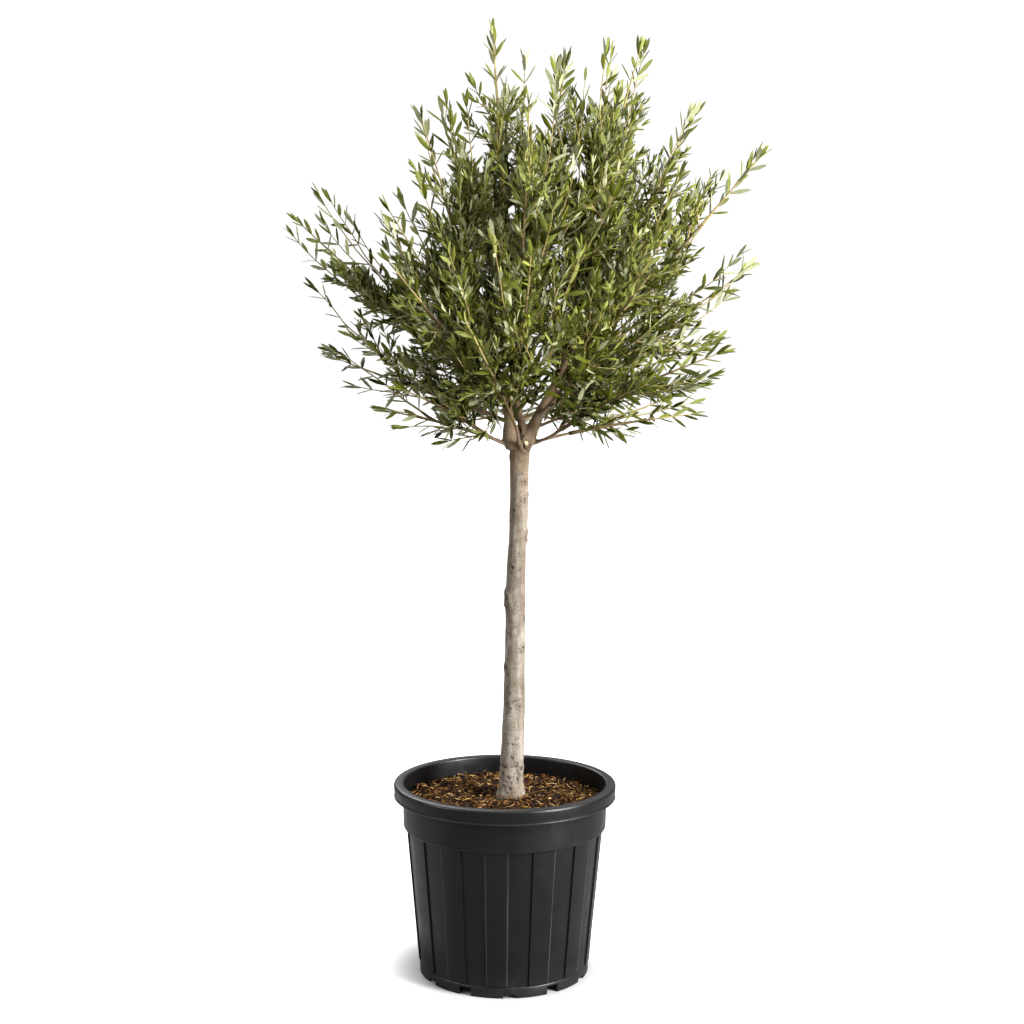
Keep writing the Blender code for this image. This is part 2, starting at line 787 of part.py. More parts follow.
    def leaf_fits(self, frame, length, width, own_path):
        for across, forward in LEAF_CHECKS:
            point = frame @ Vector((across * width, 0.0, forward * length))
            if not self.sector.holds(point):
                return False
            if not self.sector.clear_of_limbs(point, LEAF_THICKNESS):
                return False
            for path in [self.stem] + self.twigs:
                if path is own_path:
                    continue
                for low, high in zip(path, path[1:]):
                    if distance_to_span(point, low, high) < STEM_RADII[0]:
                        return False
        return True


def make_leaf(frame, length, width, collection):
    """Eight faces, widest half-way, pointed at both ends."""
    work = bmesh.new()
    bmesh.ops.create_uvsphere(work, u_segments=4, v_segments=2, radius=1.0)
    half = Matrix.Diagonal((width / 2, LEAF_THICKNESS / 2, length / 2, 1.0))
    lift = Matrix.Translation((0.0, 0.0, length / 2))
    work.transform(frame @ lift @ half)
    mesh = bpy.data.meshes.new("leaf")
    work.to_mesh(mesh)
    work.free()
    return add_object("leaf", mesh, collection)


def make_mass(limb, limbs, seed, parts, joined, section, green):
    mass = Mass(Sector(limb, limbs), seed)
    stem_radii = tapered(*STEM_RADII, len(mass.stem))
    foliage = tube("foliage_" + limb.name, mass.stem, stem_radii, 0, parts, green, section)
    for path in mass.twigs:
        tube("twig", path, tapered(*TWIG_RADII, len(path)), 0, joined, None, section)
    for frame, length, width in mass.leaves:
        make_leaf(frame, length, width, joined)
    boolean(foliage, "UNION", joined)
    for piece in list(joined.objects):
        remove_object(piece)


def main():
    clear_scene()
    parts = new_collection("potted_olive_tree")
    cutters = new_collection("cutters")
    joined = new_collection("joined_pieces")
    bark = material("bark", (0.40, 0.32, 0.24), 0.85)
    green = material("olive leaf", (0.075, 0.105, 0.035), 0.55)
    section = triangle_outline(cutters)
    make_pot(parts, new_collection("notch_cutters"))
    make_soil(parts)
    make_trunk(parts, new_collection("knots"), bark)
    limbs = grow_limbs()
    make_boughs(limbs, parts, cutters, bark)
    for index, limb in enumerate(limbs.values()):
        make_mass(limb, limbs, SEED + index, parts, joined, section, green)
    remove_object(section)


main()
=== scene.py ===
"""Looks of the potted olive tree: a standard olive in a round, ribbed nursery pot.

Metres, +Z up, the front of the tree to -Y, the middle of the pot's underside at the origin.
"""

import math
import random
from collections import namedtuple

import bmesh
import bpy
import numpy as np
from mathutils import Matrix, Vector, noise


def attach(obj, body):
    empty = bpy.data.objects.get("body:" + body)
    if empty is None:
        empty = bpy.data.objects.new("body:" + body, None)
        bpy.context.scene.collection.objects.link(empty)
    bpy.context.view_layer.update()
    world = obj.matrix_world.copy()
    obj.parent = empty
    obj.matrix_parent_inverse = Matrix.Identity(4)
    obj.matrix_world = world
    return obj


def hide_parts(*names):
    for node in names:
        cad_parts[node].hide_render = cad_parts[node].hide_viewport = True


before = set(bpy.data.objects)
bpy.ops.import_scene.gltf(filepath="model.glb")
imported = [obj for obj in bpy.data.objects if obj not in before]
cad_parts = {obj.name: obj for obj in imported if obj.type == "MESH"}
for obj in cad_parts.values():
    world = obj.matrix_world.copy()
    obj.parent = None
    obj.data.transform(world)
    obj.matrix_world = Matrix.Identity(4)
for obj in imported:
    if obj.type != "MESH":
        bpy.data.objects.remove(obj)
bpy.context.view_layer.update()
BODY = "root"
UP = Vector((0, 0, 1))
NOISE_SEED = 31
# Blender seeds its noise vectors from the clock unless it is given a seed.
noise.seed_set(NOISE_SEED)

# ---- sizes: the pot

POT_HEIGHT = 0.397
RIM_RADIUS = 0.23
RIM_DEPTH = 0.029
RIM_ROLL = 0.004
RIM_ROUND = 0.0055
BEAD = 0.0016
COLLAR_RADIUS = 0.2115
COLLAR_DEPTH = 0.063
BODY_TOP_RADIUS = 0.2005
BODY_FOOT_RADIUS = 0.175
FOOT_RADIUS = 0.176
FOOT_BAND = 0.021
WALL = 0.003
FLOOR = 0.004
CHANNEL_HEIGHT = 0.014
FOOT_RING_WIDTH = 0.01
PAD_RADIUS = 0.07
RIM_FOOT = POT_HEIGHT - RIM_DEPTH
BODY_TOP = RIM_FOOT - COLLAR_DEPTH
FLOOR_TOP = CHANNEL_HEIGHT + FLOOR
INNER_COLLAR = COLLAR_RADIUS - WALL
INNER_TOP = BODY_TOP_RADIUS - WALL
INNER_FOOT = BODY_FOOT_RADIUS - WALL
RIB_COUNT = 13
RIB_PITCH = math.tau / RIB_COUNT
RIB_HEIGHT = 0.003
RIB_HALF_ANGLE = math.radians(7.0)
RIB_EDGE = math.radians(0.36)
RIB_CENTRE = math.radians(-94.3)
RIB_END = 0.0015
# Columns of one rib's share of the pot: places across it as shares of its half pitch.
RIB_COLUMNS = (0.0, 0.17, 0.33, 0.44, 0.46, 0.48, 0.494, 0.505, 0.517, 0.532, 0.56, 0.7, 0.85)
NOTCH_COUNT = 12
NOTCH_WIDTH = 0.026
NOTCH_HEIGHTS = (0.007, 0.0165)
NOTCH_START = math.radians(-86)

# ---- sizes: the potting mix

SOIL_CENTRE_HEIGHT = 0.367
SOIL_WALL_HEIGHT = 0.357
SOIL_RINGS = 44
SOIL_COLUMNS = 150
SOIL_ROUGHNESS = 0.0042
HOLLOW_X, HOLLOW_Y = -0.04, 0.016
HOLLOW_RADIUS = 0.019
HOLLOW_DEPTH = 0.034
FIBRE_COUNT = 3000
FIBRE_POINTS = 7
FIBRE_LENGTHS = (0.008, 0.023)
FIBRE_RADII = (0.0005, 0.00115)
FIBRE_LIFTS = (0.0006, 0.0075)
FIBRE_TOP = 0.0105
FIBRE_CURL = 2.3
# Shares of the browns, from the darkest to the palest.
FIBRE_SHADES = (0.16, 0.27, 0.26, 0.2, 0.11)
CHIP_SHADES = (0.44, 0.38, 0.14, 0.03, 0.01)
CHIP_COUNT = 900
CHIP_HALF_SIZES = ((0.003, 0.0085), (0.0012, 0.0032), (0.0005, 0.0014))
CHIP_CORNERS = np.array([
    (-1, -0.8, -1), (1, -1, -1), (0.8, 1, -1), (-1, 0.9, -1),
    (-0.9, -0.7, 1), (0.8, -0.8, 1), (0.7, 0.8, 1), (-0.8, 0.7, 1),
])
CHIP_FACES = np.array([(3, 2, 1, 0), (4, 5, 6, 7), (0, 1, 5, 4), (1, 2, 6, 5), (2, 3, 7, 6), (3, 0, 4, 7)])

# ---- sizes: the trunk

# Height, place across and radius.
TRUNK_STATIONS = (
    (0.3673, 0.013, 0.0315), (0.376, 0.013, 0.0285), (0.395, 0.0132, 0.0252), (0.462, 0.015, 0.0238),
    (0.546, 0.0182, 0.0226), (0.67, 0.0194, 0.0208), (0.796, 0.0196, 0.0204), (0.88, 0.0225, 0.0188),
    (0.962, 0.0258, 0.019), (1.044, 0.0262, 0.0194), (1.09, 0.027, 0.0206), (1.12, 0.029, 0.0215),
)
TRUNK_PATH = [Vector((side, 0.0, height)) for height, side, radius in TRUNK_STATIONS]
# Height and radius of its rounded end, inside the fork.
TRUNK_TOP = ((1.112, 0.0165), (1.118, 0.011), (1.121, 0.004))
TRUNK_SIDES = 40
TRUNK_RELIEF = 0.00145
BOUGH_RELIEF = 0.00045
# Height, bearing in degrees, radius and how far it stands out.
KNOTS = (
    (1.096, -58, 0.01, 0.003), (1.095, -168, 0.006, 0.0012), (1.07, -160, 0.005, 0.001), (1.038, -77, 0.0035, 0.0006),
    (1.021, -57, 0.004, 0.0008), (0.994, -25, 0.004, 0.001), (0.985, -57, 0.0045, 0.0008),
    (0.962, -123, 0.0045, 0.0008), (0.91, 5, 0.0085, 0.002), (0.845, -117, 0.0055, 0.0008),
    (0.841, -70, 0.0035, 0.0006), (0.781, -165, 0.0115, 0.0022), (0.739, -20, 0.0045, 0.0008),
    (0.68, -38, 0.0055, 0.0014), (0.638, -150, 0.0085, 0.0013), (0.558, -62, 0.004, 0.0006),
    (0.554, -112, 0.004, 0.0006), (0.4395, -65, 0.004, 0.0007), (0.427, -35, 0.008, 0.0015),
    (0.417, -135, 0.005, 0.0006), (0.387, -95, 0.006, 0.0008), (0.88, 92, 0.006, 0.0012), (0.71, 130, 0.0075, 0.0016),
    (0.59, 60, 0.0055, 0.001), (0.49, 105, 0.007, 0.0014),
)
KNOT_SPREAD = 1.35
CUT_HEIGHT = 1.098
CUT_BEARING = -58
CUT_HALF_WIDTH = 0.0068
CUT_HALF_HEIGHT = 0.014
CUT_SIDES = 28
# Share of the way out, how far it stands out and how dark it is.
CUT_RINGS = (
    (0.0, 0.0018, 0.35), (0.5, 0.002, 0.0), (0.64, 0.0019, 0.75),
    (0.82, 0.0032, 1.0), (1.0, 0.0014, 1.0), (1.05, -0.004, 1.0),
)
CREASE_DEPTH = 0.0011
# Creases in the bark, as places across and up on the front of the trunk, half width and darkness.
CREASES = [
    (((0.027, 1.13), (0.0285, 1.118), (0.03, 1.106), (0.034, 1.093), (0.041, 1.083)), 0.0016, 1.0),
    (((0.049, 1.116), (0.0478, 1.102), (0.045, 1.092), (0.041, 1.083)), 0.0012, 0.7),
    (((0.021, 1.07), (0.029, 1.062), (0.035, 1.066)), 0.001, 0.35),
    (((-0.01, 0.405), (-0.005, 0.401), (-0.001, 0.402), (0.004, 0.399)), 0.0011, 0.45),
]
# Short ones, from one place to another, half width and darkness.
DASHES = (
    (0.006, 0.41, 0.0105, 0.408, 0.0023, 1.0), (0.012, 0.401, 0.013, 0.397, 0.0019, 0.9),
    (-0.0165, 0.411, -0.014, 0.404, 0.0021, 0.9), (-0.004, 0.3925, 0.0, 0.39, 0.0017, 0.8),
    (0.025, 0.408, 0.0265, 0.402, 0.002, 0.8), (-0.012, 0.4335, -0.0065, 0.4322, 0.0021, 1.0),
    (-0.002, 0.4312, 0.0015, 0.4305, 0.0025, 1.0), (0.014, 0.4325, 0.0152, 0.4322, 0.0021, 1.0),
    (0.0215, 0.433, 0.024, 0.4338, 0.0024, 1.0), (0.0115, 0.4525, 0.0165, 0.449, 0.0019, 0.9),
    (0.015, 0.479, 0.017, 0.4785, 0.0016, 0.8), (0.019, 0.57, 0.0225, 0.5705, 0.0017, 1.0),
    (0.0282, 0.5712, 0.03, 0.572, 0.0016, 0.9), (0.001, 0.559, 0.0045, 0.564, 0.002, 0.6),
)
CREASES += [(((x, z), (far_x, far_z)), half, dark) for x, z, far_x, far_z, half, dark in DASHES]
WOOD_VOXEL = 0.002

# ---- sizes: the limbs

FORK = Vector((0.029, 0.0, 1.121))
# How far the foot of a bough stands out sideways and up at the fork.
FLARES = {
    "left": (-0.014, 0.0), "right": (0.0045, 0.0), "middle": (0.008, 0.0),
    "low_left": (0.0, 0.014), "low_right": (0.0, 0.015),
}
MAIN_RADIUS = 0.0125
SIDE_RADIUS = 0.008
TWIGGY_RADIUS = 0.0062
BOUGH_TIP_RADIUS = 0.005
SPREAD = 14
LEAVING_SHARE = 0.16
LEAVING_TURN = 0.75
AIM_SHARE = 0.45
BASE_SHARE = 0.28
ROUTE_STEPS = 48
BOUGH_POINTS = 14
BOUGH_SIDES = 14
# How slim a bough is next to its radius, how much thicker its collar is and how far that runs up it.
MAIN_FORM = (1.0, 0.46, 0.2)
SIDE_FORM = (0.64, 0.3, 0.1)
MIDDLE_SLIM = 0.66
SECTOR_APEX = FORK - 0.1 * UP
# Name, parent, where it leaves the parent, radius, bearing, rise and reach from the fork.
BOUGHS = (
    ("left", "trunk", 0.965, MAIN_RADIUS, -145, 68.5, 0.675),
    ("right", "trunk", 0.96, MAIN_RADIUS, 15, 60.5, 0.775),
    ("middle", "trunk", 0.985, 0.0105, 138, 84, 0.835),
    ("low_left", "trunk", 0.955, TWIGGY_RADIUS, -170, 9, 0.31),
    ("low_right", "trunk", 0.96, TWIGGY_RADIUS, 6, 6, 0.385),
    ("fore", "trunk", 0.955, TWIGGY_RADIUS, -94, 14, 0.42),
    ("aft", "trunk", 0.965, SIDE_RADIUS, 92, 38, 0.56),
    ("left_lower", "left", 0.22, TWIGGY_RADIUS, 164, 20, 0.465),
    ("left_arm", "left", 0.42, SIDE_RADIUS, 180, 43, 0.645),
    ("upper_left", "left", 0.62, SIDE_RADIUS, -152, 56, 0.55),
    ("fore_left", "left", 0.5, SIDE_RADIUS, -126, 38, 0.56),
    ("aft_left", "middle", 0.4, SIDE_RADIUS, 138, 44, 0.58),
    ("right_lower", "right", 0.16, TWIGGY_RADIUS, -16, 22, 0.465),
    ("right_side", "right", 0.36, SIDE_RADIUS, 12, 35, 0.61),
    ("right_arm", "right", 0.56, SIDE_RADIUS, -12, 49, 0.74),
    ("top_right", "right", 0.78, SIDE_RADIUS, -5, 73, 0.82),
    ("fore_right", "right", 0.28, SIDE_RADIUS, -50, 40, 0.57),
    ("fore_top", "middle", 0.55, SIDE_RADIUS, -88, 66, 0.7),
    ("top_centre", "middle", 0.76, SIDE_RADIUS, 58, 78, 0.8),
    ("aft_top", "middle", 0.62, SIDE_RADIUS, 98, 62, 0.7),
    ("aft_right", "right", 0.45, SIDE_RADIUS, 54, 42, 0.6),
    ("aft_low_left", "aft", 0.25, TWIGGY_RADIUS, 124, 14, 0.4),
    ("aft_low_right", "aft", 0.4, TWIGGY_RADIUS, 52, 12, 0.42),
    ("fore_low_right", "low_right", 0.25, TWIGGY_RADIUS, -46, 17, 0.39),
    ("fore_low_left", "low_left", 0.3, TWIGGY_RADIUS, -136, 16, 0.36),
    ("fore_middle", "left", 0.3, SIDE_RADIUS, -88, 40, 0.55),
)

# ---- sizes: shoots, twigs and leaves

# Bearing, rise and reach from the fork of the long shoots that stand out of the crown.
STANDING_SHOOTS = (
    (-176, 49, 0.646), (174, 40, 0.644), (166, 49, 0.651), (-160, 55, 0.53), (-149, 53, 0.52), (-169, 62, 0.544),
    (165, 33, 0.562), (-168, 29, 0.424), (180, 23, 0.443), (165, 14, 0.399), (-161, 9, 0.313), (-155, 3, 0.288),
    (166, 0, 0.212), (-154, 70, 0.672), (161, 75, 0.695), (-134, 76, 0.683), (-149, 85, 0.817), (112, 82, 0.735),
    (87, 86, 0.769), (43, 81, 0.787), (-19, 77, 0.794), (11, 72, 0.834), (-45, 64, 0.656), (8, 62, 0.751),
    (-27, 56, 0.632), (-35, 50, 0.593), (13, 51, 0.696), (-4, 50, 0.748), (-13, 39, 0.585), (6, 36, 0.594),
    (15, 32, 0.551), (-27, 29, 0.453), (3, 25, 0.465), (-15, 16, 0.404), (12, 9, 0.395), (-29, 3, 0.27),
    (30, -2, 0.282), (-62, 68, 0.6), (-78, 58, 0.54), (-50, 60, 0.56), (-70, 48, 0.5), (-84, 75, 0.64),
    (-100, 50, 0.52), (-60, 80, 0.745), (-35, 78, 0.735), (-70, 74, 0.71), (-30, 72, 0.69), (-150, 75, 0.695),
    (-140, 62, 0.57), (-8, 17, 0.425), (10, 14, 0.415), (-25, 15, 0.39), (55, 76, 0.7), (175, 77, 0.68),
    (-128, 2, 0.16), (-150, -5, 0.2), (20, 75, 0.765), (-30, 75, 0.78), (-172, 46, 0.6), (80, 20, 0.26),
    (105, 26, 0.24), (58, 15, 0.25), (10, 74, 0.74), (170, 50, 0.58),
)
FILLER_DIRECTIONS = 420
FILLER_SPACING = 0.2
FILLER_REACH = (0.66, 0.93)
FILLER_OUTLINE = 1.04
TIP_LEAF_ROOM = 0.034
INNER_DIRECTIONS = 250
INNER_REACH = (0.4, 0.72)
INNER_OUTLINE = 0.92
INNER_RISE = 12
LOWEST_RISE = 8
SHOOT_START = (0.26, 0.46)
SHOOT_STEPS = 14
# How far a shoot turns to its tip as it leaves the limb, and its handles as shares of the gap to the tip.
SHOOT_TURN = 0.65
SHOOT_HANDLE = 0.3
LEADER_STEPS = 15
LEADER_OVERLAP = 0.012
# Where the leaves start, as shares of the length.
LEADER_FIRST_LEAF, SHOOT_FIRST_LEAF, TWIG_FIRST_LEAF = 0.1, 0.16, 0.05
SEED = 612
GOLDEN_ANGLE = math.radians(137.5)
REACH_BLEND = 0.2
CONE_LOSS = 26.0
# Seen from the front, how far the close foliage goes from the fork at angles from +X towards the top.
FRONT_LIMITS = (
    (-20, 0.04), (-10, 0.06), (0, 0.11), (10, 0.2), (20, 0.33), (30, 0.34), (40, 0.38), (50, 0.5), (60, 0.58),
    (70, 0.62), (80, 0.62), (90, 0.63), (100, 0.62), (110, 0.51), (120, 0.4), (130, 0.36), (140, 0.4), (150, 0.29),
    (160, 0.17), (170, 0.15), (180, 0.08), (190, 0.04), (200, 0.03),
)
OPEN_LOW, OPEN_HIGH = 0.76, 0.69
SECTOR_OVERLAP = 0.03
SKIRT_HEIGHT = 1.1
SKIRT_RADIUS = 0.1
SKIRT_RISE = 0.46
# Left, right, front and top of the space left open before the fork.
OPEN_FRONT = (-0.01, 0.1, 0.02, 1.18)
# Places seen from the front where the sky shows between the sprays, across and up at the fork, and their radii.
WINDOWS = (
    (-0.302, 1.478, 0.038), (-0.248, 1.436, 0.03), (-0.177, 1.156, 0.048), (-0.275, 1.227, 0.042),
    (-0.06, 1.676, 0.026), (-0.025, 1.806, 0.024), (0.056, 1.741, 0.028), (0.256, 1.158, 0.042), (0.3, 1.762, 0.026),
    (0.394, 1.505, 0.032), (0.426, 1.548, 0.038), (0.14, 1.64, 0.02), (-0.134, 1.645, 0.022), (0.361, 1.42, 0.026),
    (0.285, 1.712, 0.024), (-0.13, 1.56, 0.018), (0.3, 1.47, 0.02), (-0.14, 1.35, 0.016), (0.23, 1.33, 0.018),
    (0.168, 1.822, 0.032), (-0.322, 1.373, 0.036), (-0.238, 1.578, 0.026), (0.408, 1.373, 0.032), (0.01, 1.56, 0.014),
    (0.09, 1.47, 0.014), (-0.05, 1.4, 0.014), (0.18, 1.54, 0.014), (0.06, 1.29, 0.016), (-0.11, 1.25, 0.018),
    (0.29, 1.26, 0.018), (-0.2, 1.3, 0.016),
)
# How far the tip of the foremost leader bends aside and up, clear of the fork.
FORE_SHIFT = Vector((-0.075, 0.0, 0.12))
FORE_RADII = (0.0033, 0.0014)
STEP = 0.016
TWIG_ANGLE = math.radians(46)
TWIG_ANGLE_RANGE = math.radians(9)
TWIG_BEND = 0.1
TWIG_LIFT = 0.05
SWAY = 0.01
TWIG_SWAY = 0.22
TWIG_START = 0.2
TRIES = 3
# Shortest twig that has side shoots of its own.
FORKING_LENGTH = 0.07
# Spacing, longest, share of the length still to go, shortest and the bare end, for twigs and for side shoots.
TWIGS = (0.034, 0.15, 0.38, 0.032, 0.15)
SIDE_SHOOTS = (0.031, 0.07, 0.44, 0.028, 0.024)
LEADER_RADII = (0.0046, 0.0011)
SHOOT_RADII = (0.0025, 0.0009)
TWIG_RADII = (0.0016, 0.0007)
SIDE_SHOOT_RADII = (0.0012, 0.0007)
TUBE_SIDES = 5
# Points along the stem of a shoot, a twig and a side shoot, and the radii where the stems' shades change.
STEM_POINTS = (14, 6, 4)
STEM_SHADES = (0.0011, 0.0023)
LEAF_LENGTH = 0.0405
LEAF_WIDTH_SHARE = 0.215
LEAF_THICKNESS = 0.0006
LEAF_GAP = 0.024
# How far from the tip the leaves start to be young, and how far out a spray has brighter young leaves, as painted
# light on the crown's outside.
YOUNG_LENGTH = 0.09
OUTER_DEPTH = 0.72
# Along the leaf, and its half width as a share of the widest.
LEAF_STATIONS = ((0.16, 0.56), (0.5, 1.0), (0.82, 0.68))
LEAF_ARCH = 0.3
TOP_FACES = (
    (0, 4, 2), (0, 3, 4), (2, 4, 7, 5), (4, 3, 6, 7), (5, 7, 10, 8), (7, 6, 9, 10), (8, 10, 1), (10, 9, 1),
)
UNDER_FACES = ((0, 2, 3), (2, 5, 6, 3), (5, 8, 9, 6), (8, 1, 9))
LEAF_LEAN = (math.radians(44), math.radians(22))
VIGOUR = (1.12, 0.8, 0.68)
# Shares of the leaves that show their undersides, have dropped, and are cleared from the windows.
TURNED_OVER = 0.17
DROPPED = 0.05
CLEARED = 0.55
# Share of the sprays whose undersides are silver and not pale.
SILVER_SHARE = 0.55
# Where no leaf grows, and where all do, as shares of the way out.
BARE_CORE = (0.1, 0.38)

# ---- colours, as 0 to 255

# Leaf tops from dark to light, dealt out by painted light and shade through the crown, by random tone and by youth.
LEAF_TOPS = {
    "dark": (31, 36, 5), "deep": (50, 56, 8), "mid": (76, 81, 18), "bright": (103, 108, 42), "young": (124, 127, 60),
}
LEAF_UNDERS = {"silver": (160, 163, 126), "pale": (122, 127, 68)}
STEMS = {"young": (150, 141, 90), "mid": (152, 136, 90), "old": (104, 87, 58)}
MIX_BROWNS = {
    "black": (16, 9, 4), "brown": (48, 28, 13), "tan": (88, 57, 27), "straw": (138, 100, 52), "pale": (196, 163, 108),
}

# ---- floor, light and camera

WHITE = (1.0, 1.0, 1.0, 1.0)
CAMERA_PLACE = (0.0116, -3.334, 1.284)
CAMERA_PITCH = math.radians(-5.59)
CAMERA_ROLL = math.radians(0.33)
CAMERA_LENS = 57.66
FLOOR_SIZE = 60.0
# Painted contact shadow: shades by distance from the pot's middle, darker near its foot; and where the floor's own
# glow starts and is full, from none to how much, so no glow lightens the painted shadow.
FLOOR_PAINTED_SHADOW = ((0.165, (158, 158, 158)), (0.275, (234, 234, 234)))
FLOOR_GLOW = (0.165, 0.31, 0.0, 0.9)
FLOOR_AS_LIGHT = (122, 122, 120)
CARD_RADII = (0.3, 1.7)
CARD_BEARINGS = (-28, 208)
CARD_STEPS = 40
REFLECTOR_STRENGTH = 0.65
# Strength of the sky's light from level to overhead, and how bright it looks.
SKY_STRENGTHS = (0.05, 1.05)
SKY_SEEN = 1.05
# Name, place, the height it shines on, size and power.
LIGHTS = (
    ("key", (3.0, -1.7, 2.9), 1.0, 1.7, 315),
    ("low", (2.9, -2.0, 1.1), 0.9, 1.0, 170),
    ("fill", (-3.0, -1.2, 1.8), 0.8, 1.4, 44),
    ("back", (-1.2, 3.0, 3.0), 1.2, 2.0, 70),
)


# ---- meshes and pieces

def placed(name, data):
    """A new object in the scene."""
    made = bpy.data.objects.new(name, data)
    bpy.context.scene.collection.objects.link(made)
    return made


def add_piece(mesh, slot, *nodes):
    """A piece of the plant, named as its mesh, that stands for CAD nodes and rides on the one body."""
    piece = placed(mesh.name, mesh)
    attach(piece, BODY)
    if nodes:
        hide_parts(*nodes)
    return piece


def read(rows, field):
    """Three numbers a row, as an array."""
    values = np.zeros(len(rows) * 3)
    rows.foreach_get(field, values)
    return values.reshape(-1, 3)


def fill(rows, field, values, kind=np.float32):
    """The rows' field set from an array."""
    rows.foreach_set(field, np.asarray(values, kind).ravel())


def mark(mesh, **layers):
    """Numbers on the points of the mesh, for its material."""
    for name, values in layers.items():
        fill(mesh.attributes.new(name, "FLOAT", "POINT").data, "value", values)


def shade_smooth(mesh):
    fill(mesh.polygons, "use_smooth", np.ones(len(mesh.polygons)), bool)


def mesh_from(name, points, groups, materials):
    """A mesh of groups of faces, each group an array of corners and an array of material indices."""
    corners = np.concatenate([faces.ravel() for faces, shades in groups])
    totals = np.concatenate([np.full(len(faces), faces.shape[1]) for faces, shades in groups])
    mesh = bpy.data.meshes.new(name)
    mesh.vertices.add(len(points))
    mesh.loops.add(len(corners))
    mesh.polygons.add(len(totals))
    fill(mesh.vertices, "co", points)
    fill(mesh.loops, "vertex_index", corners, np.int32)
    fill(mesh.polygons, "loop_start", np.cumsum(totals) - totals, np.int32)
    fill(mesh.polygons, "material_index", np.concatenate([shades for faces, shades in groups]), np.int32)
    shade_smooth(mesh)
    for material in materials:
        mesh.materials.append(material)
    mesh.update(calc_edges=True)
    mesh.validate()
    return mesh


def finished(name, work):
    """The mesh of a bmesh, smooth and with its faces turned outwards."""
    bmesh.ops.recalc_face_normals(work, faces=work.faces)
    mesh = bpy.data.meshes.new(name)
    work.to_mesh(mesh)
    work.free()
    shade_smooth(mesh)
    return mesh


def mesh_of_rings(name, rings, closed=False):
    """A mesh of rings of points, each joined to the next. A ring of one point is a tip."""
    work = bmesh.new()
    rings = [[work.verts.new(point) for point in ring] for ring in rings]
    for low, high in zip(rings, rings[1:]):
        count = max(len(low), len(high))
        for i in range(count):
            j = (i + 1) % count
            corners = (low[i % len(low)], high[i % len(high)], high[j % len(high)], low[j % len(low)])
            work.faces.new(list(dict.fromkeys(corners)))
    if closed:
        work.faces.new(rings[-1])
    return finished(name, work)


def circle(radius, turns):
    """Level places round the origin."""
    return [(radius * math.cos(turn), radius * math.sin(turn)) for turn in turns]


def unit(vectors):
    return vectors / np.maximum(np.linalg.norm(vectors, axis=-1, keepdims=True), 1e-9)


def tube_points(paths, radii, sides):
    """Rings of points round paths, all of one number of points, as an array (path, point, side, 3)."""
    headings = unit(np.gradient(paths, axis=1))
    overall = unit(paths[:, -1] - paths[:, 0])
    reference = np.where(np.abs(overall[:, 2:]) < 0.8, np.array((0.0, 0.0, 1.0)), np.array((1.0, 0.0, 0.0)))
    reference = unit(np.cross(overall, reference))[:, None, :]
    across = unit(reference - headings * (reference * headings).sum(-1, keepdims=True))
    upper = np.cross(headings, across)
    turns = np.arange(sides) * math.tau / sides
    ring = (
        across[:, :, None, :] * np.cos(turns)[None, None, :, None]
        + upper[:, :, None, :] * np.sin(turns)[None, None, :, None]
    )
    return paths[:, :, None, :] + ring * radii[:, :, None, None]


def tube_faces(count, length, sides, first=0):
    """Side faces (path, span, side, 4) and end caps (path, 2, sides) of closed tubes."""
    ring = np.arange(sides)
    base = first + np.arange(count)[:, None, None] * length * sides + np.arange(length - 1)[None, :, None] * sides
    after = (ring + 1) % sides
    walls = np.stack((base + ring, base + after, base + sides + after, base + sides + ring), axis=-1)
    starts = first + np.arange(count)[:, None] * length * sides
    caps = np.stack((starts + ring[::-1], starts + (length - 1) * sides + ring), axis=1)
    return walls, caps


def apply_modifiers(piece):
    """The piece's mesh becomes what its modifiers make of it."""
    graph = bpy.context.evaluated_depsgraph_get()
    made = bpy.data.meshes.new_from_object(piece.evaluated_get(graph))
    old = piece.data
    piece.modifiers.clear()
    piece.data = made
    bpy.data.meshes.remove(old)


# ---- materials

def linear(colour):
    """A colour of 0 to 255 as the shader's linear numbers."""
    shares = [part / 255 for part in colour]
    return tuple(s / 12.92 if s <= 0.04045 else ((s + 0.055) / 1.055) ** 2.4 for s in shares) + (1.0,)


def plain(name, colour, roughness, specular=0.5):
    """A plain base colour."""
    made = bpy.data.materials.new(name)
    made.use_nodes = True
    inputs = made.node_tree.nodes["Principled BSDF"].inputs
    inputs["Base Color"].default_value = linear(colour)
    inputs["Roughness"].default_value = roughness
    inputs["Specular IOR Level"].default_value = specular
    return made


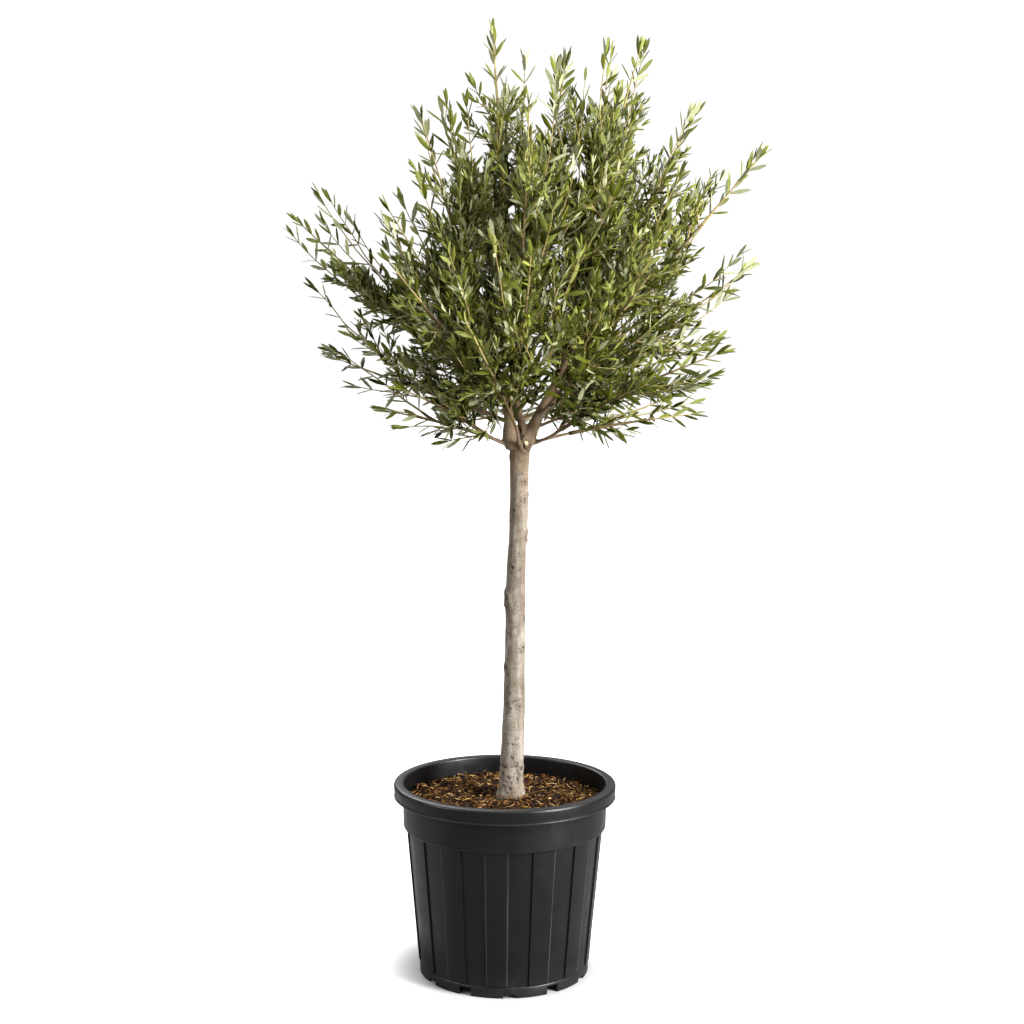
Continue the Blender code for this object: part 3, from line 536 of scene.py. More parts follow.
class Nodes:
    """Short names for the nodes of a material or of the world."""

    def __init__(self, owner):
        self.owner = owner
        self.tree = owner.node_tree
        self.shader = self.tree.nodes.get("Principled BSDF") or self.tree.nodes["Background"]
        self.places = self.add("TexCoord").outputs
        self.place = self.places["Object"]

    def add(self, kind, settings=(), **inputs):
        node = self.tree.nodes.new("ShaderNode" + kind)
        for name, value in settings:
            setattr(node, name, value)
        for name, value in inputs.items():
            self.feed(node.inputs[name.replace("_", " ")], value)
        return node

    def feed(self, socket, value):
        if isinstance(value, bpy.types.NodeSocket):
            self.tree.links.new(value, socket)
        else:
            socket.default_value = value

    def stretched(self, upwards):
        return self.add("Mapping", Vector=self.place, Scale=(1.0, 1.0, upwards)).outputs[0] if upwards else self.place

    def noise(self, scale, detail=4.0, rough=0.55, upwards=None):
        place = self.stretched(upwards)
        return self.add("TexNoise", Vector=place, Scale=scale, Detail=detail, Roughness=rough).outputs["Fac"]

    def dots(self, scale, upwards):
        return self.add("TexVoronoi", Vector=self.stretched(upwards), Scale=scale).outputs["Distance"]

    def ramp(self, value, stops, kind="LINEAR"):
        made = self.add("ValToRGB", Fac=value)
        made.color_ramp.interpolation = kind
        elements = made.color_ramp.elements
        while len(elements) < len(stops):
            elements.new(0.5)
        for element, (place, colour) in zip(elements, stops):
            element.position = place
            element.color = linear(colour)
        return made.outputs["Color"]

    def spread(self, value, low, high, to_low=0.0, to_high=1.0, kind="LINEAR"):
        """Value's share of the way from low to high, as a number from to_low to to_high."""
        kind = (("interpolation_type", kind),)
        ends = {"From_Min": low, "From_Max": high, "To_Min": to_low, "To_Max": to_high}
        return self.add("MapRange", kind, Value=value, **ends).outputs[0]

    def mixed(self, share, first, second, kind="RGBA"):
        """First at a share of 0 and second at 1. Where kind is RGBA, a triple is a colour of 0 to 255."""
        made = self.add("Mix", (("data_type", kind),))
        result, *sockets = {"RGBA": (2, 0, 6, 7), "FLOAT": (0, 0, 2, 3)}[kind]
        for socket, value in zip(sockets, (share, first, second)):
            self.feed(made.inputs[socket], linear(value) if isinstance(value, tuple) else value)
        return made.outputs[result]

    def math(self, operation, first, second):
        made = self.add("Math", (("operation", operation),))
        self.feed(made.inputs[0], first)
        self.feed(made.inputs[1], second)
        return made.outputs[0]

    def attribute(self, name):
        return self.add("Attribute", (("attribute_name", name),)).outputs["Fac"]

    def height(self):
        return self.add("SeparateXYZ", Vector=self.place).outputs["Z"]

    def seen(self):
        """1 where the camera sees the surface itself, and 0 for the light that comes off it."""
        return self.add("LightPath").outputs["Is Camera Ray"]

    def bump(self, value, strength, distance):
        made = self.add("Bump", Strength=strength, Distance=distance, Height=value)
        self.feed(self.shader.inputs["Normal"], made.outputs[0])

    def finish(self, colour, roughness=None):
        self.feed(self.shader.inputs["Base Color"], colour)
        if roughness:
            self.feed(self.shader.inputs["Roughness"], roughness)
        return self.owner


def patterned(name, roughness, specular):
    """The nodes of a new material, whose base colour is still to come."""
    return Nodes(plain(name, (128, 128, 128), roughness, specular))


def pot_plastic():
    """Satin charcoal polypropylene, a little cloudy, with dust low down, painted highlights along the rib edges, the
    rim and the collar, and painted shade beside the rib edges that face the front.
    """
    n = patterned("charcoal_plastic", 0.42, 0.37)
    cloud = n.ramp(n.noise(7.0, 5.0), ((0.35, (8, 8, 9)), (0.65, (13, 13, 14))))
    dust = n.math("MULTIPLY", n.spread(n.height(), 0.06, 0.0), n.noise(38.0, 6.0))
    dusty = n.mixed(n.math("MULTIPLY", dust, 0.12), cloud, (104, 100, 94))
    scuffed = n.mixed(n.spread(n.noise(22.0, 8.0, 0.7, 0.25), 0.62, 0.8, 0.0, 0.16), dusty, (96, 96, 95))
    patchy = n.spread(n.noise(9.0, 3.0), 0.35, 0.65, 0.35, 0.8)
    # Painted highlight: the marked rib edges and the rim and collar lines are lightened in patches.
    highlighted = n.mixed(n.math("MULTIPLY", n.attribute("worn"), patchy), scuffed, (76, 76, 75))
    # Painted shade beside the rib edges that face the front: less sheen here, and below a colour darkened nearly to
    # black.
    n.feed(n.shader.inputs["Specular IOR Level"], n.spread(n.attribute("groove"), 0.0, 1.0, 0.37, 0.12))
    n.bump(n.noise(620.0, 2.0), 0.1, 0.0006)
    shaded = n.mixed(n.attribute("groove"), highlighted, (4, 4, 4))
    return n.finish(shaded, n.spread(n.noise(30.0, 5.0), 0.3, 0.7, 0.3, 0.42))


def mound_material():
    """Dark, damp potting mix between the fibres, with painted shade that darkens it nearly to black in the hollow
    beside the trunk.
    """
    n = patterned("potting_mix_damp", 0.92, 0.25)
    grain = n.noise(170.0, 8.0, 0.7)
    colour = n.ramp(grain, ((0.3, (14, 8, 5)), (0.5, (32, 20, 11)), (0.7, (68, 45, 26))))
    n.bump(grain, 0.8, 0.003)
    # Painted shade: the hollow beside the trunk is darkened nearly to black.
    return n.finish(n.mixed(n.attribute("deep"), colour, (5, 3, 2)))


def bark_material():
    """Smooth grey-beige bark, with fine lengthwise streaks, level wrinkles and dark knots."""
    n = patterned("olive_bark", 0.82, 0.3)
    streaks = n.noise(60.0, 8.0, 0.62, 0.16)
    wrinkles = n.noise(62.0, 5.0, 0.6, 2.2)
    colour = n.ramp(streaks, ((0.28, (86, 76, 65)), (0.48, (134, 124, 111)), (0.72, (174, 166, 155))))
    aged = n.spread(n.height(), 0.7, 0.4, 0.1, 0.55)
    pits = n.spread(n.dots(95.0, 1.7), 0.13, 0.24, 1.0, 0.0)
    pitted = n.spread(n.noise(26.0, 2.0, 0.5, 1.6), 0.5, 0.56, 0.0, 0.85)
    for share, over in (
        (n.spread(n.noise(30.0, 7.0, 0.65, 0.7), 0.44, 0.6, 0.0, 0.75), (100, 88, 74)),
        (n.spread(n.noise(310.0, 4.0, 0.7, 0.8), 0.48, 0.62, 0.0, 0.45), (86, 75, 62)),
        (n.math("MULTIPLY", n.spread(wrinkles, 0.56, 0.66), aged), (78, 63, 48)),
        (n.spread(n.noise(120.0, 3.0, 0.5, 1.3), 0.68, 0.73, 0.0, 0.75), (66, 52, 40)),
        (n.math("MULTIPLY", pits, pitted), (52, 41, 31)),
        (n.attribute("youth"), (134, 108, 76)),
        (n.attribute("scar"), (42, 31, 22)),
    ):
        colour = n.mixed(share, colour, over)
    n.bump(n.math("ADD", streaks, n.math("MULTIPLY", wrinkles, 0.7)), 0.8, 0.0022)
    return n.finish(colour)


def cut_material():
    """Pale sawn wood with faint rings."""
    n = patterned("sawn_wood", 0.75, 0.3)
    fine = n.noise(420.0, 4.0)
    colour = n.ramp(fine, ((0.35, (206, 190, 138)), (0.6, (236, 224, 180))))
    n.bump(fine, 0.3, 0.0004)
    return n.finish(n.mixed(n.attribute("scar"), colour, (108, 90, 66)))


# ---- pot

def arc(centre, radius, first, last, steps):
    """Profile points on a circle round centre from one angle to another, in degrees."""
    turns = [math.radians(first + (last - first) * i / steps) for i in range(steps + 1)]
    return [(centre[0] + radius * math.cos(t), centre[1] + radius * math.sin(t)) for t in turns]


def pot_profile():
    """(radius, height, rib share) rows, up the inside, over the rim and down the outside."""
    under_lip = POT_HEIGHT - 1.5 * RIM_ROLL
    bead_out = RIM_RADIUS - WALL / 2
    collar_out = COLLAR_RADIUS - WALL / 2
    ring_in = FOOT_RADIUS - FOOT_RING_WIDTH
    ribs_top, ribs_foot = BODY_TOP - 0.0018, FOOT_BAND + 0.003
    above = [
        (0.0, FLOOR_TOP), (INNER_FOOT - 0.004, FLOOR_TOP), (INNER_FOOT, FLOOR_TOP + 0.004),
        (INNER_TOP, BODY_TOP + WALL), (INNER_COLLAR, BODY_TOP + 2 * WALL), (INNER_COLLAR, POT_HEIGHT - 0.02),
        *arc((INNER_COLLAR + RIM_ROLL, POT_HEIGHT - RIM_ROLL), RIM_ROLL, 180, 90, 5),
        *arc((RIM_RADIUS - RIM_ROUND, POT_HEIGHT - RIM_ROUND), RIM_ROUND, 90, 0, 7),
        (RIM_RADIUS - 0.0008, RIM_FOOT + 0.01), (bead_out, RIM_FOOT + 3.4 * BEAD),
        *arc((bead_out - 0.2 * BEAD, RIM_FOOT + BEAD), BEAD, 70, -100, 7),
        (RIM_RADIUS - 1.5 * WALL, RIM_FOOT + BEAD), (RIM_RADIUS - WALL, under_lip - 0.002),
        (COLLAR_RADIUS + 0.002, under_lip), (COLLAR_RADIUS, under_lip - 0.002),
        (COLLAR_RADIUS - WALL / 4, (RIM_FOOT + BODY_TOP) / 2), (collar_out, BODY_TOP + 0.004),
        *arc((collar_out - 0.0025, BODY_TOP + 0.0035), 0.0025, 0, -80, 4),
    ]
    ribbed = [(BODY_TOP_RADIUS + 0.0014, BODY_TOP - 0.0004), (BODY_TOP_RADIUS, ribs_top)]
    for share in [i / 12 for i in range(1, 12)] + [1 - RIB_END / (ribs_top - ribs_foot), 1.0]:
        radius = BODY_TOP_RADIUS + (BODY_FOOT_RADIUS - BODY_TOP_RADIUS) * share
        ribbed.append((radius, ribs_top + (ribs_foot - ribs_top) * share))
    below = [
        ribbed.pop(), (BODY_FOOT_RADIUS, FOOT_BAND + 0.0022), (BODY_FOOT_RADIUS - 0.0006, FOOT_BAND + 0.001),
        (FOOT_RADIUS - 0.0004, FOOT_BAND), (FOOT_RADIUS, FOOT_BAND - 0.001), (FOOT_RADIUS, 0.0012),
        (FOOT_RADIUS - 0.0012, 0.0), (ring_in + 0.001, 0.0), (ring_in, 0.001), (ring_in, CHANNEL_HEIGHT - 0.002),
        (ring_in - 0.002, CHANNEL_HEIGHT), (PAD_RADIUS + 0.002, CHANNEL_HEIGHT), (PAD_RADIUS, CHANNEL_HEIGHT - 0.002),
        (PAD_RADIUS, 0.001), (PAD_RADIUS - 0.001, 0.0),
        (0.45 * PAD_RADIUS, 0.0), (0.42 * PAD_RADIUS, 0.0015), (0.0, 0.0015),
    ]
    parts = ((above, 0.0), (ribbed, 1.0), (below, 0.0))
    return [(radius, height, rib) for part, rib in parts for radius, height in part]


def rib_rise(bearing):
    """How far the wall stands out at a bearing, from 0 between the ribs to 1 on them."""
    off = abs((bearing - RIB_CENTRE + RIB_PITCH / 2) % RIB_PITCH - RIB_PITCH / 2)
    share = clamped((RIB_HALF_ANGLE + RIB_EDGE - off) / (2 * RIB_EDGE))
    return share * share * (3 - 2 * share)


def notch_cutter():
    """A block through the foot ring for each notch."""
    work = bmesh.new()
    middle = Matrix.Translation((FOOT_RADIUS - FOOT_RING_WIDTH / 2, 0, 0))
    for index in range(NOTCH_COUNT):
        height = NOTCH_HEIGHTS[index % len(NOTCH_HEIGHTS)]
        block = bmesh.ops.create_cube(work, size=1.0)["verts"]
        bmesh.ops.scale(work, vec=(3 * FOOT_RING_WIDTH, NOTCH_WIDTH, 2 * height), verts=block)
        turn = Matrix.Rotation(NOTCH_START + math.tau * index / NOTCH_COUNT, 4, "Z")
        bmesh.ops.transform(work, matrix=turn @ middle, verts=block)
    return finished("notches", work)


def make_pot():
    columns = [-1.0] + [-share for share in RIB_COLUMNS[:0:-1]] + list(RIB_COLUMNS)
    middles = [RIB_CENTRE + RIB_PITCH * rib for rib in range(RIB_COUNT)]
    bearings = [middle + share * (RIB_PITCH / 2) for middle in middles for share in columns]
    rings = []
    for radius, height, rib in pot_profile():
        outs = [(radius + RIB_HEIGHT * rib * rib_rise(b), b) for b in bearings]
        ring = [(out * math.cos(b), out * math.sin(b), height) for out, b in outs]
        rings.append(ring if radius else [(0, 0, height)])
    pot = add_piece(mesh_of_rings("ribbed_pot", rings), "pot_plastic", "pot")
    notches = placed("notches", notch_cutter())
    cut = pot.modifiers.new("notches", "BOOLEAN")
    cut.operation = "DIFFERENCE"
    cut.object = notches
    cut.solver = "EXACT"
    apply_modifiers(pot)
    bpy.data.meshes.remove(notches.data)
    shade_smooth(pot.data)
    pot.data.set_sharp_from_angle(angle=math.radians(34))
    mark_worn(pot.data)
    pot.data.materials.clear()
    pot.data.materials.append(pot_plastic())


def mark_worn(mesh):
    """Painted highlights on the rib edges, the rim and the collar, strongest on rib edges facing away from the front,
    and painted shade beside the rib edges that face the front.
    """
    x, y, z = read(mesh.vertices, "co").T
    radius, bearing = np.hypot(x, y), np.arctan2(y, x)
    half = RIB_PITCH / 2
    signed = ((bearing - RIB_CENTRE + half) % RIB_PITCH - half) / half
    off = np.abs(signed)
    from_front = (bearing + 1.5 * math.pi) % math.tau - math.pi
    outer_edge = (signed * from_front > 0) | (np.abs(from_front) < math.radians(13))
    share = np.clip((BODY_TOP - z) / (BODY_TOP - FOOT_BAND), 0.0, 1.0)
    wall = BODY_TOP_RADIUS + (BODY_FOOT_RADIUS - BODY_TOP_RADIUS) * share
    crest = (off > 0.45) & (off < 0.485) & (z > FOOT_BAND + 0.002) & (z < BODY_TOP) & (radius > wall + 0.0012)
    # Painted highlight: rib edges facing away from the front are lit lines, the others faint.
    worn = crest * np.where(outer_edge, 1.0, 0.1)
    # Painted highlights along the rim's lower edge, the collar's foot and the rim's top.
    worn[(np.abs(z - RIM_FOOT) < 0.0018) & (radius > RIM_RADIUS - 0.003)] = 0.6
    worn[(z > BODY_TOP) & (z < BODY_TOP + 0.0034) & (radius > COLLAR_RADIUS - 0.005)] = 0.35
    worn[(np.abs(z - POT_HEIGHT) < 0.0012) & (radius > RIM_RADIUS - 0.012)] = 0.3
    # Painted shade: a dark band beside each rib edge that faces the front.
    on_body = (z > FOOT_BAND + 0.001) & (z < BODY_TOP - 0.0005) & (radius > wall - 0.001)
    mark(mesh, worn=worn, groove=on_body * ~outer_edge * np.exp(-(((off - 0.515) / 0.035) ** 2)))


# ---- potting mix

def mound_height(x, y):
    """The lie of the mix: a low mound with clods, and a hollow beside the trunk."""
    share = (math.hypot(x, y) / INNER_COLLAR) ** 1.5
    height = SOIL_CENTRE_HEIGHT + (SOIL_WALL_HEIGHT - SOIL_CENTRE_HEIGHT) * share
    height += SOIL_ROUGHNESS * noise.noise(Vector((x * 38, y * 38, 3.1)))
    height += 0.45 * SOIL_ROUGHNESS * noise.noise(Vector((x * 110, y * 110, 7.7)))
    off = math.hypot(x - HOLLOW_X, y - HOLLOW_Y) / HOLLOW_RADIUS
    return height - HOLLOW_DEPTH * math.exp(-off * off)


def make_mound():
    wall, floor = INNER_COLLAR - 0.0004, FLOOR_TOP + 0.0005
    turns = [math.tau * i / SOIL_COLUMNS for i in range(SOIL_COLUMNS)]
    tops = [circle(wall * ring / SOIL_RINGS, turns) for ring in range(1, SOIL_RINGS + 1)]
    rings = [[(x, y, mound_height(x, y)) for x, y in ring] for ring in [[(0, 0)]] + tops]
    sides = (
        (wall, BODY_TOP + 2 * WALL + 0.001), (INNER_TOP - 0.0012, BODY_TOP + WALL),
        (INNER_FOOT - 0.0012, floor + 0.004), (INNER_FOOT - 0.0052, floor),
    )
    rings += [[(x, y, height) for x, y in circle(radius, turns)] for radius, height in sides]
    mesh = mesh_of_rings("potting_mix_mound", rings + [[(0, 0, floor)]])
    x, y, z = read(mesh.vertices, "co").T
    # Painted shade in the hollow beside the trunk: how much the mix is darkened there.
    mark(mesh, deep=np.exp(-(np.hypot(x - HOLLOW_X, y - HOLLOW_Y) / HOLLOW_RADIUS) ** 2))
    mesh.materials.append(mound_material())
    add_piece(mesh, "potting_mix", "potting_mix")


def scattered(rng, count, margin):
    """Places on the mound, clear of the wall by a margin and of the trunk."""
    trunk_x = TRUNK_STATIONS[0][1]
    places = []
    while len(places) < count:
        radius = (INNER_COLLAR - margin) * math.sqrt(rng.random())
        turn = rng.random() * math.tau
        x, y = radius * math.cos(turn), radius * math.sin(turn)
        in_hollow = math.hypot(x - HOLLOW_X, y - HOLLOW_Y) < HOLLOW_RADIUS
        if not in_hollow and math.hypot(x - trunk_x, y) > TRUNK_STATIONS[1][2] - 0.002:
            places.append((x, y, mound_height(x, y)))
    return np.array(places)


def headings(bearing, rise):
    """Unit vectors at bearings and rises in radians."""
    return np.stack((np.cos(bearing) * np.cos(rise), np.sin(bearing) * np.cos(rise), np.sin(rise)), axis=-1)


def make_fibres(browns):
    """Curled strands of coir and bark that lie on the mix."""
    rng = np.random.default_rng(SEED)
    count, spans = FIBRE_COUNT, FIBRE_POINTS - 1
    starts = scattered(rng, count, 0.004)
    lengths = rng.uniform(*FIBRE_LENGTHS, count) * rng.uniform(0.6, 1.25, count)
    bearing = rng.uniform(0, math.tau, count)
    curl = rng.normal(0, FIBRE_CURL, count)
    rise = rng.normal(0.1, 0.22, count)
    sag = rng.normal(-0.45, 0.35, count)
    paths = np.zeros((count, FIBRE_POINTS, 3))
    paths[:, 0] = starts
    for point in range(1, FIBRE_POINTS):
        share = point / spans
        step = headings(bearing + curl * share, rise + sag * share)
        paths[:, point] = paths[:, point - 1] + step * (lengths / spans)[:, None]
    radius = np.linalg.norm(paths[:, :, :2], axis=-1)
    paths[:, :, :2] *= np.minimum(1.0, (INNER_COLLAR - 0.002) / np.maximum(radius, 1e-6))[:, :, None]
    ground = np.array([[mound_height(x, y) for x, y, z in path] for path in paths])
    lifted = rng.uniform(*FIBRE_LIFTS, count)[:, None]
    paths[:, :, 2] = np.clip(paths[:, :, 2] + lifted, ground, ground + FIBRE_TOP)
    thickness = rng.uniform(*FIBRE_RADII, count)
    taper = np.interp(np.linspace(0, 1, FIBRE_POINTS), (0, 0.25, 0.7, 1), (0.55, 1.0, 0.9, 0.35))
    points = tube_points(paths, thickness[:, None] * taper, 3).reshape(-1, 3)
    walls, caps = tube_faces(count, FIBRE_POINTS, 3)
    shade = rng.choice(len(browns), count, p=FIBRE_SHADES)
    groups = (
        (walls.reshape(-1, 4), np.repeat(shade, spans * 3)),
        (caps.reshape(-1, 3), np.repeat(shade, 2)),
    )
    add_piece(mesh_from("mix_fibres", points, groups, browns), "potting_mix")


def make_chips(browns):
    """Splinters and flakes of bark bedded in the mix."""
    rng = np.random.default_rng(SEED + 1)
    count = CHIP_COUNT
    places = scattered(rng, count, 0.009)
    half = np.stack([rng.uniform(*span, count) for span in CHIP_HALF_SIZES], axis=-1)
    corners = CHIP_CORNERS[None] * (1 + rng.uniform(-0.35, 0.1, (count, 8, 3))) * half[:, None]
    turn = rng.uniform(0, math.tau, count)
    ahead = headings(turn, rng.normal(0, 0.28, count))
    side = unit(np.cross(np.array((0.0, 0.0, 1.0)) + rng.normal(0, 0.3, (count, 3)), ahead))
    places[:, 2] += rng.uniform(-0.0002, 0.0035, count)
    axes = np.stack((ahead, side, np.cross(ahead, side)), axis=1)
    points = places[:, None] + np.einsum("nij,njk->nik", corners, axes)
    faces = CHIP_FACES[None] + np.arange(count)[:, None, None] * len(CHIP_CORNERS)
    shade = rng.choice(len(browns), count, p=CHIP_SHADES)
    groups = ((faces.reshape(-1, 4), np.repeat(shade, len(CHIP_FACES))),)
    mesh = mesh_from("mix_chips", points.reshape(-1, 3), groups, browns)
    mesh.set_sharp_from_angle(angle=math.radians(30))
    add_piece(mesh, "potting_mix")


# ---- limbs, by the source's rule

def direction(bearing, rise):
    """The unit vector at a bearing from +X and a rise above level, in degrees."""
    flat = math.cos(math.radians(rise))
    return Vector((
        flat * math.cos(math.radians(bearing)),
        flat * math.sin(math.radians(bearing)),
        math.sin(math.radians(rise)),
    ))


def curve_point(controls, share):
    """A point on the cubic Bezier curve of four control points."""
    rest = 1.0 - share
    weights = (rest ** 3, 3 * rest ** 2 * share, 3 * rest * share ** 2, share ** 3)
    return sum((weight * point for weight, point in zip(weights, controls)), Vector())


def mix(first, second, share):
    return first + (second - first) * share


def clamped(value, low=0.0, high=1.0):
    return max(low, min(high, value))


def square_to(heading, turn):
    """A unit vector at right angles to a heading, turned round it."""
    return Matrix.Rotation(turn, 3, heading) @ heading.orthogonal().normalized()


def path_length(points):
    return sum((b - a).length for a, b in zip(points, points[1:]))


def along(points, share):
    """The point and heading at a share of a polyline's length."""
    spans = [(b - a).length for a, b in zip(points, points[1:])]
    wanted = share * sum(spans)
    for a, b, span in zip(points, points[1:], spans):
        if wanted <= span:
            return mix(a, b, wanted / span), (b - a).normalized()
        wanted -= span
    return points[-1], (points[-1] - points[-2]).normalized()


def evenly_spaced(points, wanted):
    return [along(points, i / (wanted - 1))[0] for i in range(wanted)]


class Limb:
    """A bough and, as far as it goes on in the foliage, its leading shoot."""

    def __init__(self, row, limbs):
        self.name, parent, leaving, self.radius, bearing, rise, self.reach = row
        self.axis = direction(bearing, rise)
        self.tip = FORK + self.axis * self.reach
        self.sector_axis = (self.tip - SECTOR_APEX).normalized()
        parent_points = limbs[parent].bough if parent in limbs else TRUNK_PATH
        start, parent_heading = along(parent_points, leaving)
        spread = direction(bearing, max(rise - SPREAD, 0.5 * rise))
        controls = (
            start,
            start + mix(parent_heading, spread, LEAVING_TURN).normalized() * LEAVING_SHARE * self.reach,
            FORK + self.axis * AIM_SHARE * self.reach,
            self.tip,
        )
        route = [curve_point(controls, step / ROUTE_STEPS) for step in range(ROUTE_STEPS + 1)]
        base = next(i for i, p in enumerate(route) if (p - FORK).length > BASE_SHARE * self.reach)
        self.bough = evenly_spaced(route[:base + 1], 4)
        self.curve = route[:base + 1]
        self.shoot = route[base:]


def grow_limbs():
    limbs = {}
    for row in BOUGHS:
        limbs[row[0]] = Limb(row, limbs)
    return limbs


# ---- trunk and boughs

def trunk_at(height):
    """The trunk's centre and radius at a height."""
    heights, sides, radii = zip(*TRUNK_STATIONS)
    side, radius = (float(np.interp(height, heights, values)) for values in (sides, radii))
    return Vector((side, 0.0, height)), radius


def bough_shape(limb):
    """The path, radii and sides of a bough's tube, with its flare and collar at the foot."""
    across, up = FLARES.get(limb.name, (0.0, 0.0))
    shares = [i / (BOUGH_POINTS - 1) for i in range(BOUGH_POINTS)]
    path = [
        point + Vector((across, 0, up)) * math.exp(-(((share - 0.06) / 0.16) ** 2))
        for share, point in zip(shares, evenly_spaced(limb.curve, BOUGH_POINTS))
    ]
    path.append(path[-1] + (path[-1] - path[-2]).normalized() * 0.004)
    slim, collar, run = MAIN_FORM if limb.radius > SIDE_RADIUS else SIDE_FORM
    if limb.name == "middle":
        slim = MIDDLE_SLIM
    widths = [
        slim * mix(limb.radius, BOUGH_TIP_RADIUS, share) * (1.0 + collar * math.exp(-((share / run) ** 2)))
        for share in shares + [1.0]
    ]
    return path, widths, BOUGH_SIDES


def trunk_shape():
    """The path, radii and sides of the trunk's tube, from under the mix to its rounded top."""
    (bottom, foot_side, foot_radius), (top, top_side, _) = TRUNK_STATIONS[0], TRUNK_STATIONS[-1]
    centres, radii = zip(*[trunk_at(height) for height in np.linspace(bottom, top - 0.014, 60)])
    points = [Vector((foot_side, 0, bottom - 0.012)), *centres]
    points += [Vector((top_side, 0.0, height)) for height, radius in TRUNK_TOP]
    return points, [foot_radius + 0.002, *radii] + [radius for height, radius in TRUNK_TOP], TRUNK_SIDES


def make_wood(limbs):
    """The trunk and every bough as closed tubes that run into one another, made one skin."""
    points, walls, caps = [], [], {}
    count = 0
    for path, radii, sides in [trunk_shape()] + [bough_shape(limb) for limb in limbs.values()]:
        points.append(tube_points(np.array([path]), np.array([radii]), sides).reshape(-1, 3))
        wall, cap = tube_faces(1, len(path), sides, count)
        walls.append(wall.reshape(-1, 4))
        caps.setdefault(sides, []).append(cap.reshape(-1, sides))
        count += len(points[-1])
    groups = [(faces, np.zeros(len(faces), int)) for faces in map(np.concatenate, [walls, *caps.values()])]
    mesh = mesh_from("trunk_and_boughs", np.concatenate(points), groups, [])
    wood = add_piece(mesh, "bark", "trunk", *["bough_" + name for name in limbs])
    remesh = wood.modifiers.new("one skin", "REMESH")
    remesh.mode = "VOXEL"
    remesh.voxel_size = WOOD_VOXEL
    remesh.use_smooth_shade = True
    soften = wood.modifiers.new("soften", "SMOOTH")
    soften.factor = 0.5
    soften.iterations = 5
    apply_modifiers(wood)
    add_relief(wood.data)
    wood.data.materials.clear()
    wood.data.materials.append(bark_material())


def bell(values, middle, width):
    return np.exp(-(((values - middle) / width) ** 2))


def add_relief(mesh):
    """Swellings, level wrinkles and knots, and where the bark is scarred or young."""
    places, normals = read(mesh.vertices, "co"), read(mesh.vertices, "normal")
    girth = np.zeros(len(places))
    for i, (x, y, z) in enumerate(places):
        for weight, level, upward in ((0.9, 30, 16), (0.22, 70, 330), (0.3, 170, 34)):
            girth[i] += weight * noise.noise(Vector((x * level, y * level, z * upward)))
    on_trunk = places[:, 2] < TRUNK_STATIONS[-1][0] - 0.01
    rise = girth * np.where(on_trunk, TRUNK_RELIEF, BOUGH_RELIEF)
    scar = np.zeros(len(places))
    for height, bearing, radius, stands_out in KNOTS:
        centre, trunk_radius = trunk_at(height)
        off = places - np.array(centre + direction(bearing, 0) * trunk_radius)
        off[:, 2] *= 0.85
        far = np.linalg.norm(off, axis=1) / (radius * KNOT_SPREAD)
        near = far < 3.0
        dimple = bell(far, 0.0, 0.52)
        rise[near] += (stands_out * (1.45 * bell(far, 0.75, 0.36) - 0.75 * dimple))[near]
        scar[near] = np.maximum(scar, 0.95 * dimple + 0.3 * bell(far, 1.15, 0.2))[near]
    for line, half, dark in CREASES:
        near = crease_share(places, line, half) * (normals[:, 1] < 0.2)
        rise -= CREASE_DEPTH * near
        scar = np.maximum(scar, dark * near)
    places += normals * rise[:, None]
    fill(mesh.vertices, "co", places)
    out = np.linalg.norm(places - np.array(FORK), axis=1)
    on_boughs = np.clip(0.55 + (out - 0.03) / 0.4, 0.0, 0.8)
    youth = np.where(on_trunk, np.clip((places[:, 2] - 0.94) / 0.3, 0.0, 0.55), on_boughs)
    mark(mesh, scar=np.clip(scar, 0, 0.9), youth=youth)
    mesh.update()


def crease_share(places, line, half):
    """From 1 on a line drawn over the front to 0 some way off it, a little uneven along its length."""
    nearest = np.full(len(places), np.inf)
    for (x, z), (far_x, far_z) in zip(line, line[1:]):
        span = np.array((far_x - x, far_z - z))
        off = places[:, (0, 2)] - np.array((x, z))
        share = np.clip(off @ span / (span @ span), 0.0, 1.0)
        nearest = np.minimum(nearest, np.linalg.norm(off - share[:, None] * span, axis=1))
    return np.exp(-((nearest / half) ** 2))


def make_pruning_cut():
    """The pale face left where a limb was sawn off at the fork."""
    centre, radius = trunk_at(CUT_HEIGHT)
    outward = direction(CUT_BEARING, 14)
    across = outward.cross(UP).normalized()
    upper = across.cross(outward).normalized()
    middle = centre + outward * (radius + 0.0008)
    rings, scar = [], []
    for share, lift, dark in CUT_RINGS:
        turns = [math.tau * i / CUT_SIDES for i in range(CUT_SIDES if share else 1)]
        ring = []
        for turn in turns:
            flat = across * math.cos(turn) * CUT_HALF_WIDTH + upper * math.sin(turn) * CUT_HALF_HEIGHT
            wobble = 1.0 + 0.07 * noise.noise(Vector((math.cos(turn), math.sin(turn), share)) * 2)
            ring.append(middle + flat * share * wobble + outward * lift)
        rings.append(ring)
        scar += [dark] * len(ring)
    mesh = mesh_of_rings("pruning_cut", rings, closed=True)
    mark(mesh, scar=scar)
    mesh.materials.append(cut_material())
    add_piece(mesh, "bark")


# ---- crown

